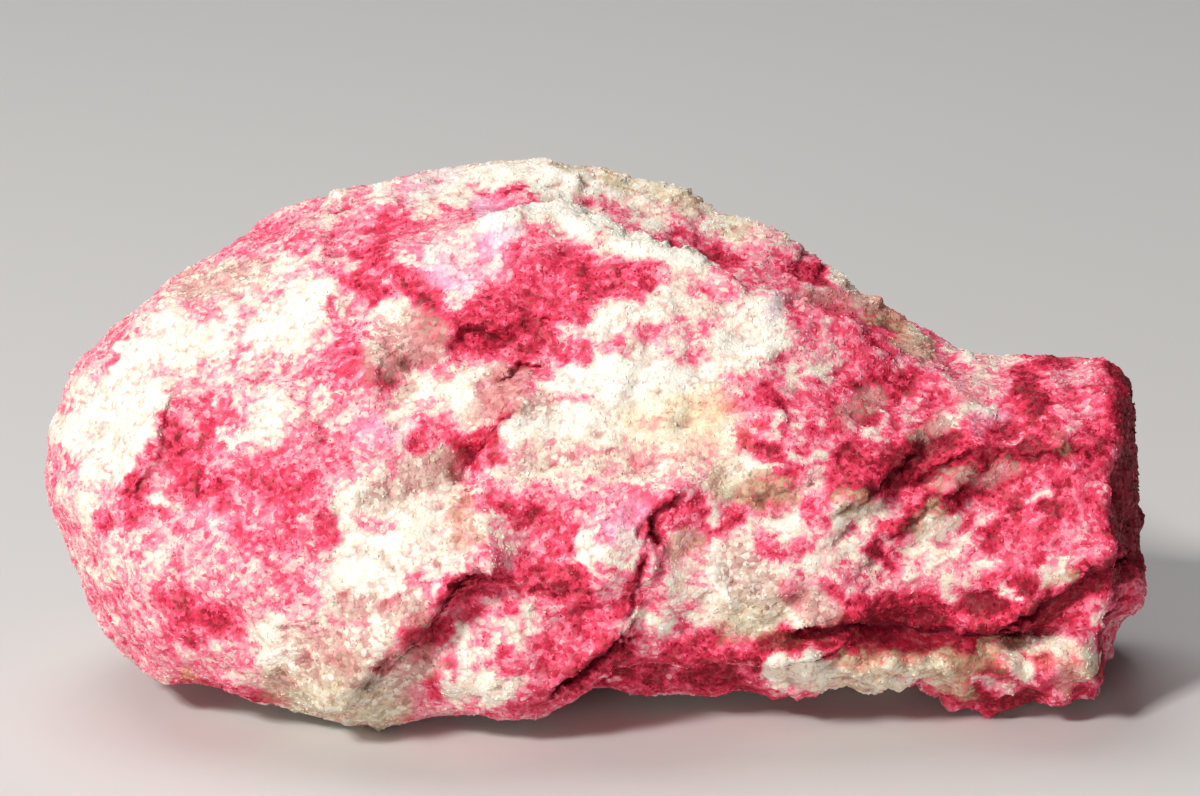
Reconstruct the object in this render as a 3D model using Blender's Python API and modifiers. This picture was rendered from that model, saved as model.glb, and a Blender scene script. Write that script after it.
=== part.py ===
"""A rough hand specimen of thulite: one broken stone of pink zoisite and cream albite.

The stone lies on its broken underside with its long side along X. +Y is its back and +Z is up. The
origin is on the surface that it rests on, under the middle of its box. Lengths are in millimetres
until a mesh is made from them, where MM turns them into metres.
"""

from dataclasses import dataclass

import bmesh
import bpy
import numpy as np
from mathutils import Vector, noise

MM = 0.001
NAME = "thulite_stone"

LENGTH = 60.0  # along X, over the broken ends
TRIANGLES = 9000  # of the finished solid
SEED = 1795476467  # of the chips' lean, which would else differ with each build
FORM_VOXEL = 0.55  # grid of the main form, before the relief
RELIEF_VOXEL = 0.42  # grid of the broken surface, before it is thinned
FEET = ((-13.0, -7.0), (21.0, -4.8), (2.0, 9.0))  # (x, y) of the three places that it rests on
FOOT_REACH = 4.0  # how far from these the lowest points may be
SOLE_BAND = 0.4  # how much of the lowest points is worn flat, on the resting plane

# The main form: closed sections across the stone, from its blunt left end to its broken right end.
# Each section gives (y, z) on the same eleven lines, which run round it from the front foot: toe,
# shin, belly, chest, brow, shelf, crest, nape, back, heel and sole.
SECTIONS = {
    -29.9: ((1, 9.6), (0, 10.6), (-0.6, 12.2), (0, 13.8), (1.5, 14.8), (2.5, 15), (3.5, 14.6),
            (4.5, 13.4), (4.5, 12), (3.5, 10.6), (2, 9.6)),
    -28.4: ((-1.8, 5.2), (-4.2, 7.6), (-5.2, 11), (-3.4, 14.6), (0.6, 17.2), (3, 17.6),
            (4.5, 17), (6.5, 13.8), (7, 10), (5, 5.6), (2, 4.6)),
    -24.6: ((-5.8, 1.7), (-8.7, 4.8), (-9.9, 10), (-6.8, 16.3), (-0.4, 20.6), (3.5, 21.4),
            (6.5, 21.2), (10, 16), (11, 9), (7, 1.6), (1, 1.4)),
    -18.0: ((-8, 1.2), (-11, 4.4), (-12.2, 9.6), (-8.7, 17), (-1.2, 23.1), (4, 24.8),
            (8, 25.5), (12, 18.4), (13.5, 10), (10, 1.2), (1, 0.8)),
    -11.0: ((-7.8, -0.2), (-11.6, 4), (-13.2, 9), (-9.7, 17.5), (-1.7, 25.4), (4, 26.5),
            (9, 27.5), (13, 19), (14.5, 10), (11, 0.8), (1, 0.9)),
    -4.0: ((-9.2, 1.9), (-11.6, 4.4), (-12.2, 10), (-8.7, 18.5), (-0.7, 27.4), (4, 27),
           (9, 28.4), (13, 20), (14.5, 10.5), (11.5, 0.6), (1.5, 1)),
    3.0: ((-6.8, 1.6), (-9.9, 4.6), (-11.6, 11), (-8.7, 18.5), (-2.2, 26), (4, 24.6), (9, 27.9),
          (13, 20), (14, 11), (11, 0.5), (2, 1)),
    10.0: ((-6.7, 1.2), (-8.9, 4), (-10.6, 11), (-8.6, 18), (-2.7, 23.8), (3, 21.4), (8, 25.2),
           (12, 17.5), (13, 10), (10, 0.6), (2, 0.9)),
    17.0: ((-6, 1.8), (-8.9, 4), (-9.6, 10), (-7.7, 15.6), (-1.2, 20.8), (3, 19.3), (7, 19.9),
           (10.5, 14.3), (11.5, 9), (9, 0.4), (1.5, 0.7)),
    20.6: ((-5.4, 0.2), (-8.5, 3.6), (-9.4, 9.8), (-7.7, 15.3), (-2.5, 18.4), (2, 18.8),
           (5.5, 18.1), (9, 13.4), (10.5, 8), (8, 0.5), (1, 0.5)),
    28.0: ((-5, 1.6), (-8.3, 4), (-9.2, 9.7), (-8, 15.7), (-3.6, 18.5), (0.5, 19),
           (3.8, 18.2), (7, 13.4), (8, 8), (6.4, 1), (0.5, 0.6)),
    29.9: ((-5, 2.4), (-7.6, 4.5), (-8.3, 9.7), (-7.2, 15), (-3.2, 17.6), (0.5, 17.9),
           (3.4, 16.8), (6.5, 13), (7.3, 8), (6, 1.6), (0.5, 1.4)),
}


@dataclass(frozen=True)
class Ledge:
    """A broken step along a line of points, proud on the line's left as seen from outside."""

    line: tuple
    height: float
    reach: float = 3.5  # how far from the line the step has faded by about two thirds
    proud_share: float = 0.4  # of the height, what stands out; the rest is sunk on the other side


@dataclass(frozen=True)
class Swelling:
    """A lump, or a hollow where the height is negative."""

    at: tuple
    radius: float
    height: float


@dataclass(frozen=True)
class Break:
    """A flat break: what stands out past a plane, near its middle, is taken off."""

    at: tuple
    facing: tuple
    radius: float


FRONT_LEDGES = (
    # The mass of the left half, proud of the tongue at its right foot.
    Ledge(
        ((-13.4, -10.6, 2.6), (-11.1, -12.0, 5.1), (-10.0, -12.1, 6.1), (-8.7, -12.2, 7.4),
         (-7.4, -12.2, 9.0), (-6.9, -12.0, 10.2), (-5.6, -11.9, 10.4)),
        1.8, 3.2, 0.6,
    ),
    # The arch over the tongue.
    Ledge(((-6.4, -12.0, 10.3), (-3.9, -11.7, 9.3), (-1.9, -11.4, 8.7), (0.4, -11.2, 9.2)), 0.9, 2.4),
    # The tongue's own right edge, and the step that runs on up the middle.
    Ledge(((-2.2, -8.0, 1.6), (-0.4, -9.7, 3.9), (1.4, -10.2, 5.8), (2.0, -10.6, 7.4)), 1.5, 3.0),
    Ledge(((1.5, -10.6, 7.2), (2.3, -10.9, 8.3), (2.9, -11.1, 9.8), (3.3, -11.1, 10.6)), 1.3, 2.4),
    Ledge(((3.4, -11.1, 10.7), (2.8, -10.9, 12.3), (3.3, -10.5, 13.2), (4.4, -10.3, 14.0)), 1.2, 2.2),
    # The brow above its grey hollow.
    Ledge(
        ((-11.6, -7.6, 19.0), (-10.5, -6.7, 20.2), (-8.8, -5.9, 21.2), (-5.2, -5.5, 21.8),
         (-2.0, -5.7, 21.7)),
        1.2, 3.0,
    ),
    # The cream block's left edge.
    Ledge(
        ((-4.8, -8.8, 17.8), (-5.1, -9.4, 16.4), (-6.6, -10.2, 14.6), (-7.1, -10.6, 13.6),
         (-6.8, -11.4, 12.0)),
        1.1, 2.6,
    ),
    # The cream cap at the left end.
    Ledge(
        ((-24.6, -8.1, 12.6), (-23.4, -7.8, 14.8), (-22.4, -7.2, 16.4), (-21.4, -5.7, 18.2)),
        0.8, 2.8,
    ),
    # Slabs of the right half, each proud of the next.
    Ledge(((12.6, -9.3, 12.4), (13.9, -9.0, 13.2), (15.4, -8.3, 14.4), (16.7, -7.4, 15.5),
           (18.2, -6.4, 16.3)), 1.3, 2.2, 0.3),
    Ledge(((14.6, -9.4, 10.6), (15.5, -9.3, 11.2), (17.5, -8.6, 12.3), (19.3, -8.0, 13.6),
           (20.9, -7.1, 15.0)), 1.2, 2.2, 0.3),
    Ledge(
        ((20.3, -7.2, 14.7), (23.4, -7.0, 14.8), (26.6, -6.5, 15.1), (28.4, -6.2, 15.2)),
        1.1, 2.4, 0.3,
    ),
    Ledge(((7.2, -9.9, 13.4), (8.4, -9.8, 13.8), (10.9, -9.5, 14.1)), 0.6, 1.6, 0.3),
    # The long ledge over the foot on the right.
    Ledge(
        ((1.6, -9.6, 3.6), (6.0, -9.2, 4.0), (9.0, -9.0, 4.3), (12.0, -8.9, 5.1), (13.4, -9.0, 6.1),
         (14.5, -9.1, 7.1), (17.0, -9.1, 7.6), (18.6, -8.9, 6.6), (20.7, -8.6, 6.0), (23.6, -8.2, 5.4)),
        1.6, 2.4, 0.35,
    ),
    Ledge(
        ((22.3, -8.5, 6.5), (23.7, -8.5, 7.3), (24.7, -8.4, 8.1), (26.3, -8.2, 9.3),
         (27.6, -8.0, 10.8)),
        1.5, 2.2, 0.35,
    ),
)

BACK_LEDGES = (
    # A long break that crosses the back, its upper side proud, and shorter ones beside it.
    Ledge(
        ((21.0, 10.2, 7.5), (12.0, 12.6, 9.5), (3.0, 14.2, 12.0), (-6.0, 14.4, 13.2),
         (-14.0, 13.9, 12.0), (-20.0, 12.2, 12.4)),
        1.8, 4.0,
    ),
    Ledge(((10.0, 12.2, 4.0), (4.0, 13.4, 6.5), (-3.0, 13.8, 6.0), (-9.0, 13.4, 4.4)), 1.3, 3.0),
    Ledge(((4.0, 11.4, 22.5), (-2.0, 13.0, 20.0), (-8.0, 13.0, 19.4), (-15.0, 12.0, 18.0)), 1.4, 3.2),
    Ledge(((25.0, 7.5, 13.5), (19.0, 9.4, 13.4), (14.0, 11.0, 15.0)), 1.2, 2.8),
    Ledge(((-22.0, 10.0, 17.0), (-24.5, 10.6, 13.0), (-24.0, 10.8, 8.0)), 1.0, 2.6),
)

SWELLINGS = (
    # Front: the hollows beside the cream block and under the brow, then the lumps of the middle.
    Swelling((-6.6, -10.2, 15.6), 1.5, -0.8),
    Swelling((-10.0, -7.4, 20.1), 1.6, -0.7),
    Swelling((0.2, -10.9, 12.4), 2.4, 0.6),
    Swelling((-3.2, -10.9, 11.4), 2.2, -0.4),
    Swelling((8.6, -10.0, 8.8), 3.2, 0.6),
    Swelling((20.5, -8.6, 10.0), 2.8, 0.4),
    Swelling((-4.0, -10.8, 4.6), 3.4, 1.0),
    # The knobs of the foot.
    Swelling((10.9, -7.9, 2.9), 1.7, 1.2),
    Swelling((15.6, -8.2, 3.4), 1.6, 0.8),
    Swelling((19.2, -8.0, 3.0), 1.6, 0.9),
    Swelling((23.2, -7.8, 3.6), 1.8, 0.9),
    Swelling((26.6, -7.2, 4.2), 1.5, 0.6),
    Swelling((-13.2, -10.4, 2.4), 1.8, 0.9),
    # Under the stone: its two front feet and the one at the back.
    Swelling((-13.0, -6.8, 0.8), 2.6, 0.55),
    Swelling((21.0, -4.6, 0.7), 2.4, 0.45),
    Swelling((2.0, 9.0, 1.0), 3.0, 0.5),
    # The notch low on the right end.
    Swelling((29.2, -6.8, 4.6), 2.2, -2.2),
    # Back: broad lumps and two scoops where flakes came off.
    Swelling((-10.0, 13.6, 8.0), 4.5, 0.8),
    Swelling((7.0, 12.8, 16.0), 4.0, 0.9),
    Swelling((-2.0, 13.8, 16.4), 3.2, -0.9),
    Swelling((15.0, 11.4, 6.0), 3.4, -0.8),
)

BREAKS = (
    Break((29.9, -1.0, 9.0), (0.97, -0.2, 0.14), 14.0),
    Break((28.2, -5.2, 2.6), (0.78, -0.3, -0.55), 4.5),
    Break((25.6, -5.2, 17.0), (0.1, -0.62, 0.78), 4.6),
    Break((-25.4, -5.2, 15.4), (-0.62, -0.5, 0.6), 4.6),
    Break((5.5, -1.8, 25.4), (0.12, 0.2, 0.97), 4.5),
    Break((-22.0, 9.6, 19.0), (-0.4, 0.62, 0.67), 6.0),
    Break((24.0, 6.9, 14.4), (0.2, 0.74, 0.64), 5.0),
    Break((0.0, 13.9, 9.4), (0.02, 0.99, -0.12), 7.0),
)

# The slabs that the rock splits into rise to the right, more clearly in the right half.
SLAB_FACING = Vector((-0.42, 0.12, 0.9)).normalized()
SLAB_THICKNESS = 2.3
SLAB_STEP = 0.55
LEDGE_EDGE = 0.32  # half the width over which a ledge drops
LEDGE_END = 1.2  # how far past its last point a ledge runs out
BREAK_EDGE = 0.35
CHIP_SIZE = 4.2  # across the flat chips that a broken face is made of
CHIP_TILT = 0.3


def form_mesh():
    """The sections lofted into a closed cage, one ring of points each and a face at each end."""
    cage = bmesh.new()
    rings = [
        [cage.verts.new((x * MM, y * MM, z * MM)) for y, z in section]
        for x, section in SECTIONS.items()
    ]
    for ring, following in zip(rings, rings[1:]):
        for i in range(len(ring)):
            j = (i + 1) % len(ring)
            cage.faces.new((ring[i], ring[j], following[j], following[i]))
    cage.faces.new(rings[0])
    cage.faces.new(rings[-1])
    bmesh.ops.recalc_face_normals(cage, faces=cage.faces)
    mesh = bpy.data.meshes.new(NAME)
    cage.to_mesh(mesh)
    cage.free()
    return mesh


def add_remesh(obj, voxel, smoothing):
    """Modifiers that lay an even grid over the object and soften it."""
    even = obj.modifiers.new("even", "REMESH")
    even.mode = "VOXEL"
    even.voxel_size = voxel * MM
    soften = obj.modifiers.new("soften", "SMOOTH")
    soften.factor = 0.5
    soften.iterations = smoothing


def bake_modifiers(obj):
    """Replaces the object's mesh by what its modifiers make of it."""
    graph = bpy.context.evaluated_depsgraph_get()
    mesh = bpy.data.meshes.new_from_object(obj.evaluated_get(graph))
    obj.modifiers.clear()
    obj.data = mesh


def points_of(mesh):
    """The mesh's points in millimetres and its point normals, as two arrays."""
    points = np.empty(len(mesh.vertices) * 3)
    mesh.vertices.foreach_get("co", points)
    normals = np.empty(len(mesh.vertices) * 3)
    mesh.vertices.foreach_get("normal", normals)
    return points.reshape(-1, 3) / MM, normals.reshape(-1, 3)


def set_points(mesh, points):
    """Moves the mesh's points to these places, in millimetres."""
    mesh.vertices.foreach_set("co", (points * MM).ravel())
    mesh.update()


def wave(points, size, seed):
    """Smooth noise of the given wavelength at each point, from about -1 to 1."""
    shift = Vector((seed * 17.3, seed * 5.1, seed * 9.7))
    return np.array([noise.noise(Vector(p) / size + shift) for p in points])


def ledge_relief(points, normals, ledge, wander, unevenness):
    """How far each point rises along its normal because of one ledge."""
    line = np.array(ledge.line)
    nearest = np.full(len(points), np.inf)
    side = np.zeros(len(points))
    past_end = np.zeros(len(points))
    last = len(line) - 2
    for index, (start, end) in enumerate(zip(line, line[1:])):
        run = end - start
        length = np.linalg.norm(run)
        along = (points - start) @ run / length**2
        foot = start + np.clip(along, 0, 1)[:, None] * run
        away = points - foot
        distance = np.linalg.norm(away, axis=1)
        left = np.cross(normals, run / length)
        closer = distance < nearest
        nearest = np.where(closer, distance, nearest)
        side = np.where(closer, np.einsum("ij,ij->i", away, left), side)
        beyond = np.zeros(len(points))
        if index == 0:
            beyond = np.maximum(beyond, -along * length)
        if index == last:
            beyond = np.maximum(beyond, (along - 1) * length)
        past_end = np.where(closer, beyond, past_end)
    across = side + wander
    level = 0.5 + 0.5 * np.tanh(across / LEDGE_EDGE)
    share = ledge.proud_share
    rise = ledge.height * unevenness * (level * share - (1 - level) * (1 - share))
    run_out = np.maximum(past_end, 0) / LEDGE_END
    return rise * np.exp(-((nearest / ledge.reach) ** 2) - run_out**2)


def swelling_relief(points, swelling):
    """How far each point rises because of one lump or hollow."""
    distance = np.linalg.norm(points - np.array(swelling.at), axis=1)
    return swelling.height * np.exp(-((distance / swelling.radius) ** 2))


def slab_relief(points):
    """The overlapping slabs: each stands out at its lower edge and slopes back to the next."""
    warp = wave(points, 9.0, 3) * 2.4 + wave(points, 3.2, 4) * 0.7
    height = points @ np.array(SLAB_FACING) + warp
    rise = 0.5 - (height / SLAB_THICKNESS) % 1.0
    strength = 0.25 + 0.75 / (1 + np.exp(-(points[:, 0] - 7.0) / 3.0))
    return rise * strength * SLAB_STEP * np.clip(0.5 + 1.2 * wave(points, 5.0, 5), 0, 1.3)


def chip_relief(points):
    """Flat chips: each cell of the broken surface leans its own way."""
    rises = []
    for p in points:
        place = Vector(p) / CHIP_SIZE + noise.noise_vector(Vector(p) / 4.0) * 0.35
        distances, centres = noise.voronoi(place)
        lean = noise.noise_vector(centres[0] * 7.31)
        edge = min(1.0, (distances[1] - distances[0]) / 0.12)
        rises.append((place - centres[0]).dot(lean) * CHIP_SIZE * CHIP_TILT * edge)
    return np.array(rises)


def add_breaks(mesh):
    """Takes off what stands out past each flat break."""
    points, _ = points_of(mesh)
    for cut in BREAKS:
        facing = np.array(Vector(cut.facing).normalized())
        away = points - np.array(cut.at)
        proud = np.maximum(away @ facing, 0)
        near = 1 / (1 + np.exp((np.linalg.norm(away, axis=1) - cut.radius) / BREAK_EDGE))
        points = points - (proud * near)[:, None] * facing
    set_points(mesh, points)


def add_relief(mesh):
    """Breaks the smooth form into ledges, slabs, lumps and chips."""
    points, normals = points_of(mesh)
    wander = wave(points, 2.6, 1) * 0.5 + wave(points, 1.2, 2) * 0.25
    unevenness = 1 + 0.55 * wave(points, 4.0, 9)
    rise = wave(points, 11.0, 6) * 0.5 + wave(points, 4.5, 7) * 0.35 + wave(points, 2.0, 8) * 0.22
    for ledge in FRONT_LEDGES + BACK_LEDGES:
        rise += ledge_relief(points, normals, ledge, wander, unevenness)
    for swelling in SWELLINGS:
        rise += swelling_relief(points, swelling)
    rise += slab_relief(points) + chip_relief(points)
    rise -= rise.mean()
    set_points(mesh, points + rise[:, None] * normals)


def resting_height(points):
    """The height, under each point, of the plane through the lowest point of each foot."""
    lowest = []
    for foot in FEET:
        near = points[np.linalg.norm(points[:, :2] - np.array(foot), axis=1) < FOOT_REACH]
        lowest.append(near[near[:, 2].argmin()])
    lowest = np.array(lowest)
    at_origin, along_x, along_y = np.linalg.solve(
        np.column_stack((np.ones(3), lowest[:, :2])), lowest[:, 2]
    )
    return at_origin + along_x * points[:, 0] + along_y * points[:, 1]


def finish_solid(mesh):
    """Brings the stone to its length, sets it on its feet and puts the origin under its middle."""
    points, _ = points_of(mesh)
    points *= LENGTH / np.ptp(points[:, 0])
    above = points[:, 2] - resting_height(points) - SOLE_BAND
    points[:, 2] = np.maximum(above, 0.0)
    middle = (points.max(axis=0) + points.min(axis=0)) / 2
    points[:, :2] -= middle[:2]
    set_points(mesh, points)


def thulite_material():
    """Pink zoisite: matt, and between the crimson and the cream of the real surface."""
    material = bpy.data.materials.new("thulite")
    material.use_nodes = True
    shader = material.node_tree.nodes["Principled BSDF"]
    shader.inputs["Base Color"].default_value = (0.76, 0.24, 0.33, 1.0)
    shader.inputs["Roughness"].default_value = 0.6
    shader.inputs["Metallic"].default_value = 0.0
    material.diffuse_color = (0.76, 0.24, 0.33, 1.0)
    return material


def main():
    for obj in list(bpy.data.objects):
        bpy.data.objects.remove(obj)
    noise.seed_set(SEED)
    collection = bpy.data.collections.new("thulite_specimen")
    bpy.context.scene.collection.children.link(collection)
    stone = bpy.data.objects.new(NAME, form_mesh())
    collection.objects.link(stone)
    divide = stone.modifiers.new("divide", "SUBSURF")
    divide.subdivision_type = "SIMPLE"
    divide.levels = divide.render_levels = 3
    add_remesh(stone, FORM_VOXEL, 24)
    bake_modifiers(stone)
    add_breaks(stone.data)
    add_relief(stone.data)
    add_remesh(stone, RELIEF_VOXEL, 1)
    bake_modifiers(stone)
    thin = stone.modifiers.new("thin", "DECIMATE")
    thin.ratio = TRIANGLES / (2 * len(stone.data.polygons))
    bake_modifiers(stone)
    finish_solid(stone.data)
    stone.data.materials.append(thulite_material())


main()
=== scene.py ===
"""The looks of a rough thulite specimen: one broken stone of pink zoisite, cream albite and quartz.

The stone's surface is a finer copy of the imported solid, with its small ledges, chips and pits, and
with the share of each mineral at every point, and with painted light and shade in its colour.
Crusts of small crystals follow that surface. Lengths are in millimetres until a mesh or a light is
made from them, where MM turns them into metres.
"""

import logging
import math
from dataclasses import dataclass, field
from enum import Enum
from typing import Any

import bmesh
import bpy
import numpy as np
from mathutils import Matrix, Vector, noise


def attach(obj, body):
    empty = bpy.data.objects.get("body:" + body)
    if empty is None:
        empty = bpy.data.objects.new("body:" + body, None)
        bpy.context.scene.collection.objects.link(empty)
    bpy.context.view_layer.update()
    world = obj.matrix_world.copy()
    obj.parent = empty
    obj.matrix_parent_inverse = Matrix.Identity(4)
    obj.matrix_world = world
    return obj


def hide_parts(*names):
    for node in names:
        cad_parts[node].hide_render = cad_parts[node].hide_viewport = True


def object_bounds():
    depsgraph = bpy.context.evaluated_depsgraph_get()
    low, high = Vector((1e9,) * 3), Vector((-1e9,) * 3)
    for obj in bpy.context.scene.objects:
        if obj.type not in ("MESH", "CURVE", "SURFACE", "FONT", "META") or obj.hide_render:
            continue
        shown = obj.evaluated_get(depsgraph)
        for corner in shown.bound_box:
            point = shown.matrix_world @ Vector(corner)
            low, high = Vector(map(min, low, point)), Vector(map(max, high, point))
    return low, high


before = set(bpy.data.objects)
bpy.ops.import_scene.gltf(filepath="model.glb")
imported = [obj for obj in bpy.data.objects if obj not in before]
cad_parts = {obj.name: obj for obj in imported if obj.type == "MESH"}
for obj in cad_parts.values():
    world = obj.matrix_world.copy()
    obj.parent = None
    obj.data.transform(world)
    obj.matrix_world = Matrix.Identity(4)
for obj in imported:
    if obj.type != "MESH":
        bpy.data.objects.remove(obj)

CAD_BOX = [list(map(float, corner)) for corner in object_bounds()]

LOG = logging.getLogger("thulite")
MM = 0.001
NODE = "thulite_stone"
BODY = "root"

Point = tuple[float, float]
Colour = tuple[float, float, float]


# ---------------------------------------------------------------- the view and the minerals


@dataclass(frozen=True)
class FrontView:
    """The stone seen from the front and a little above, as it is usually shown.

    Its flat coordinates are millimetres on the stone, u to the right and v up, from a point near
    the middle of the front.
    """

    elevation: float = math.radians(17.0)
    distance: float = 217.4
    aim: tuple[float, float, float] = (0.22, 0.667, 15.85)
    origin: Point = (-0.22, -2.28)
    sensor: float = 36.0
    lens: float = 120.0

    @property
    def forward(self) -> np.ndarray:
        """The way the view looks."""
        return np.array((0.0, math.cos(self.elevation), -math.sin(self.elevation)))

    @property
    def upward(self) -> np.ndarray:
        """The view's own up."""
        return np.array((0.0, math.sin(self.elevation), math.cos(self.elevation)))

    @property
    def eye(self) -> np.ndarray:
        """Where the view looks from, in millimetres."""
        return np.array(self.aim) - self.forward * self.distance

    def flat(self, points: np.ndarray) -> np.ndarray:
        """Places points on the flat front view.

        Args:
            points: places on the stone, in millimetres.

        Returns:
            The (u, v) of each point.
        """
        away = points - self.eye
        scale = self.distance / (away @ self.forward)
        return np.column_stack(
            (away[:, 0] * scale - self.origin[0], (away @ self.upward) * scale - self.origin[1])
        )

    def facing(self, points: np.ndarray, normals: np.ndarray) -> np.ndarray:
        """Says how far each point of the surface is turned to the view.

        Args:
            points: places on the stone, in millimetres.
            normals: the surface's outward directions there.

        Returns:
            From 1, turned straight to the view, to -1, turned away.
        """
        to_eye = self.eye - points
        to_eye /= np.linalg.norm(to_eye, axis=1)[:, None]
        return np.einsum("ij,ij->i", normals, to_eye)


class Tone(Enum):
    """How red the rock is, from white albite to the deepest zoisite, whose tone also paints shade.
    """

    WHITE = -0.12
    CREAM = 0.05
    BLUSH = 0.3
    PINK = 0.5
    HOT = 0.68
    CRIMSON = 0.84
    # The deepest crimson, which its patches mostly use as painted shade.
    DEEP_SHADE = 1.0


class Tint(Enum):
    """What else colours the rock: each is a share from 0 to 1, kept beside the tone."""

    QUARTZ = "quartz"
    OLIVE = "olive"
    OCHRE = "ochre"
    VIOLET = "violet"


@dataclass(frozen=True)
class Patch:
    """A vein or patch of one tone or tint, along a line on the front view.

    Its line is u, v, u, v and so on, or only its middle. The width is how far it reaches from
    that, in millimetres, and the strength is how much of what was there it covers.
    """

    kind: Tone | Tint
    width: float
    line: tuple[float, ...]
    strength: float = 1.0

    @property
    def path(self) -> tuple[Point, ...]:
        """The points of its line."""
        return tuple(zip(self.line[::2], self.line[1::2]))


# Short names for the kinds in the rows below. Each row holds a Patch's fields, and the order of
# the rows matters: a later patch covers an earlier one. The D rows are painted shade, partly over
# rock that is crimson itself: under ledges, overhangs and slab steps, in recesses, along the
# underside and on the broken end. Some R rows along the ledges are painted shade too, and some W
# rows are painted light on faces that lie in shade.
W, C, B, P = Tone.WHITE, Tone.CREAM, Tone.BLUSH, Tone.PINK
H, R, D = Tone.HOT, Tone.CRIMSON, Tone.DEEP_SHADE
Q, V, O, L = Tint.QUARTZ, Tint.VIOLET, Tint.OCHRE, Tint.OLIVE

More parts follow.
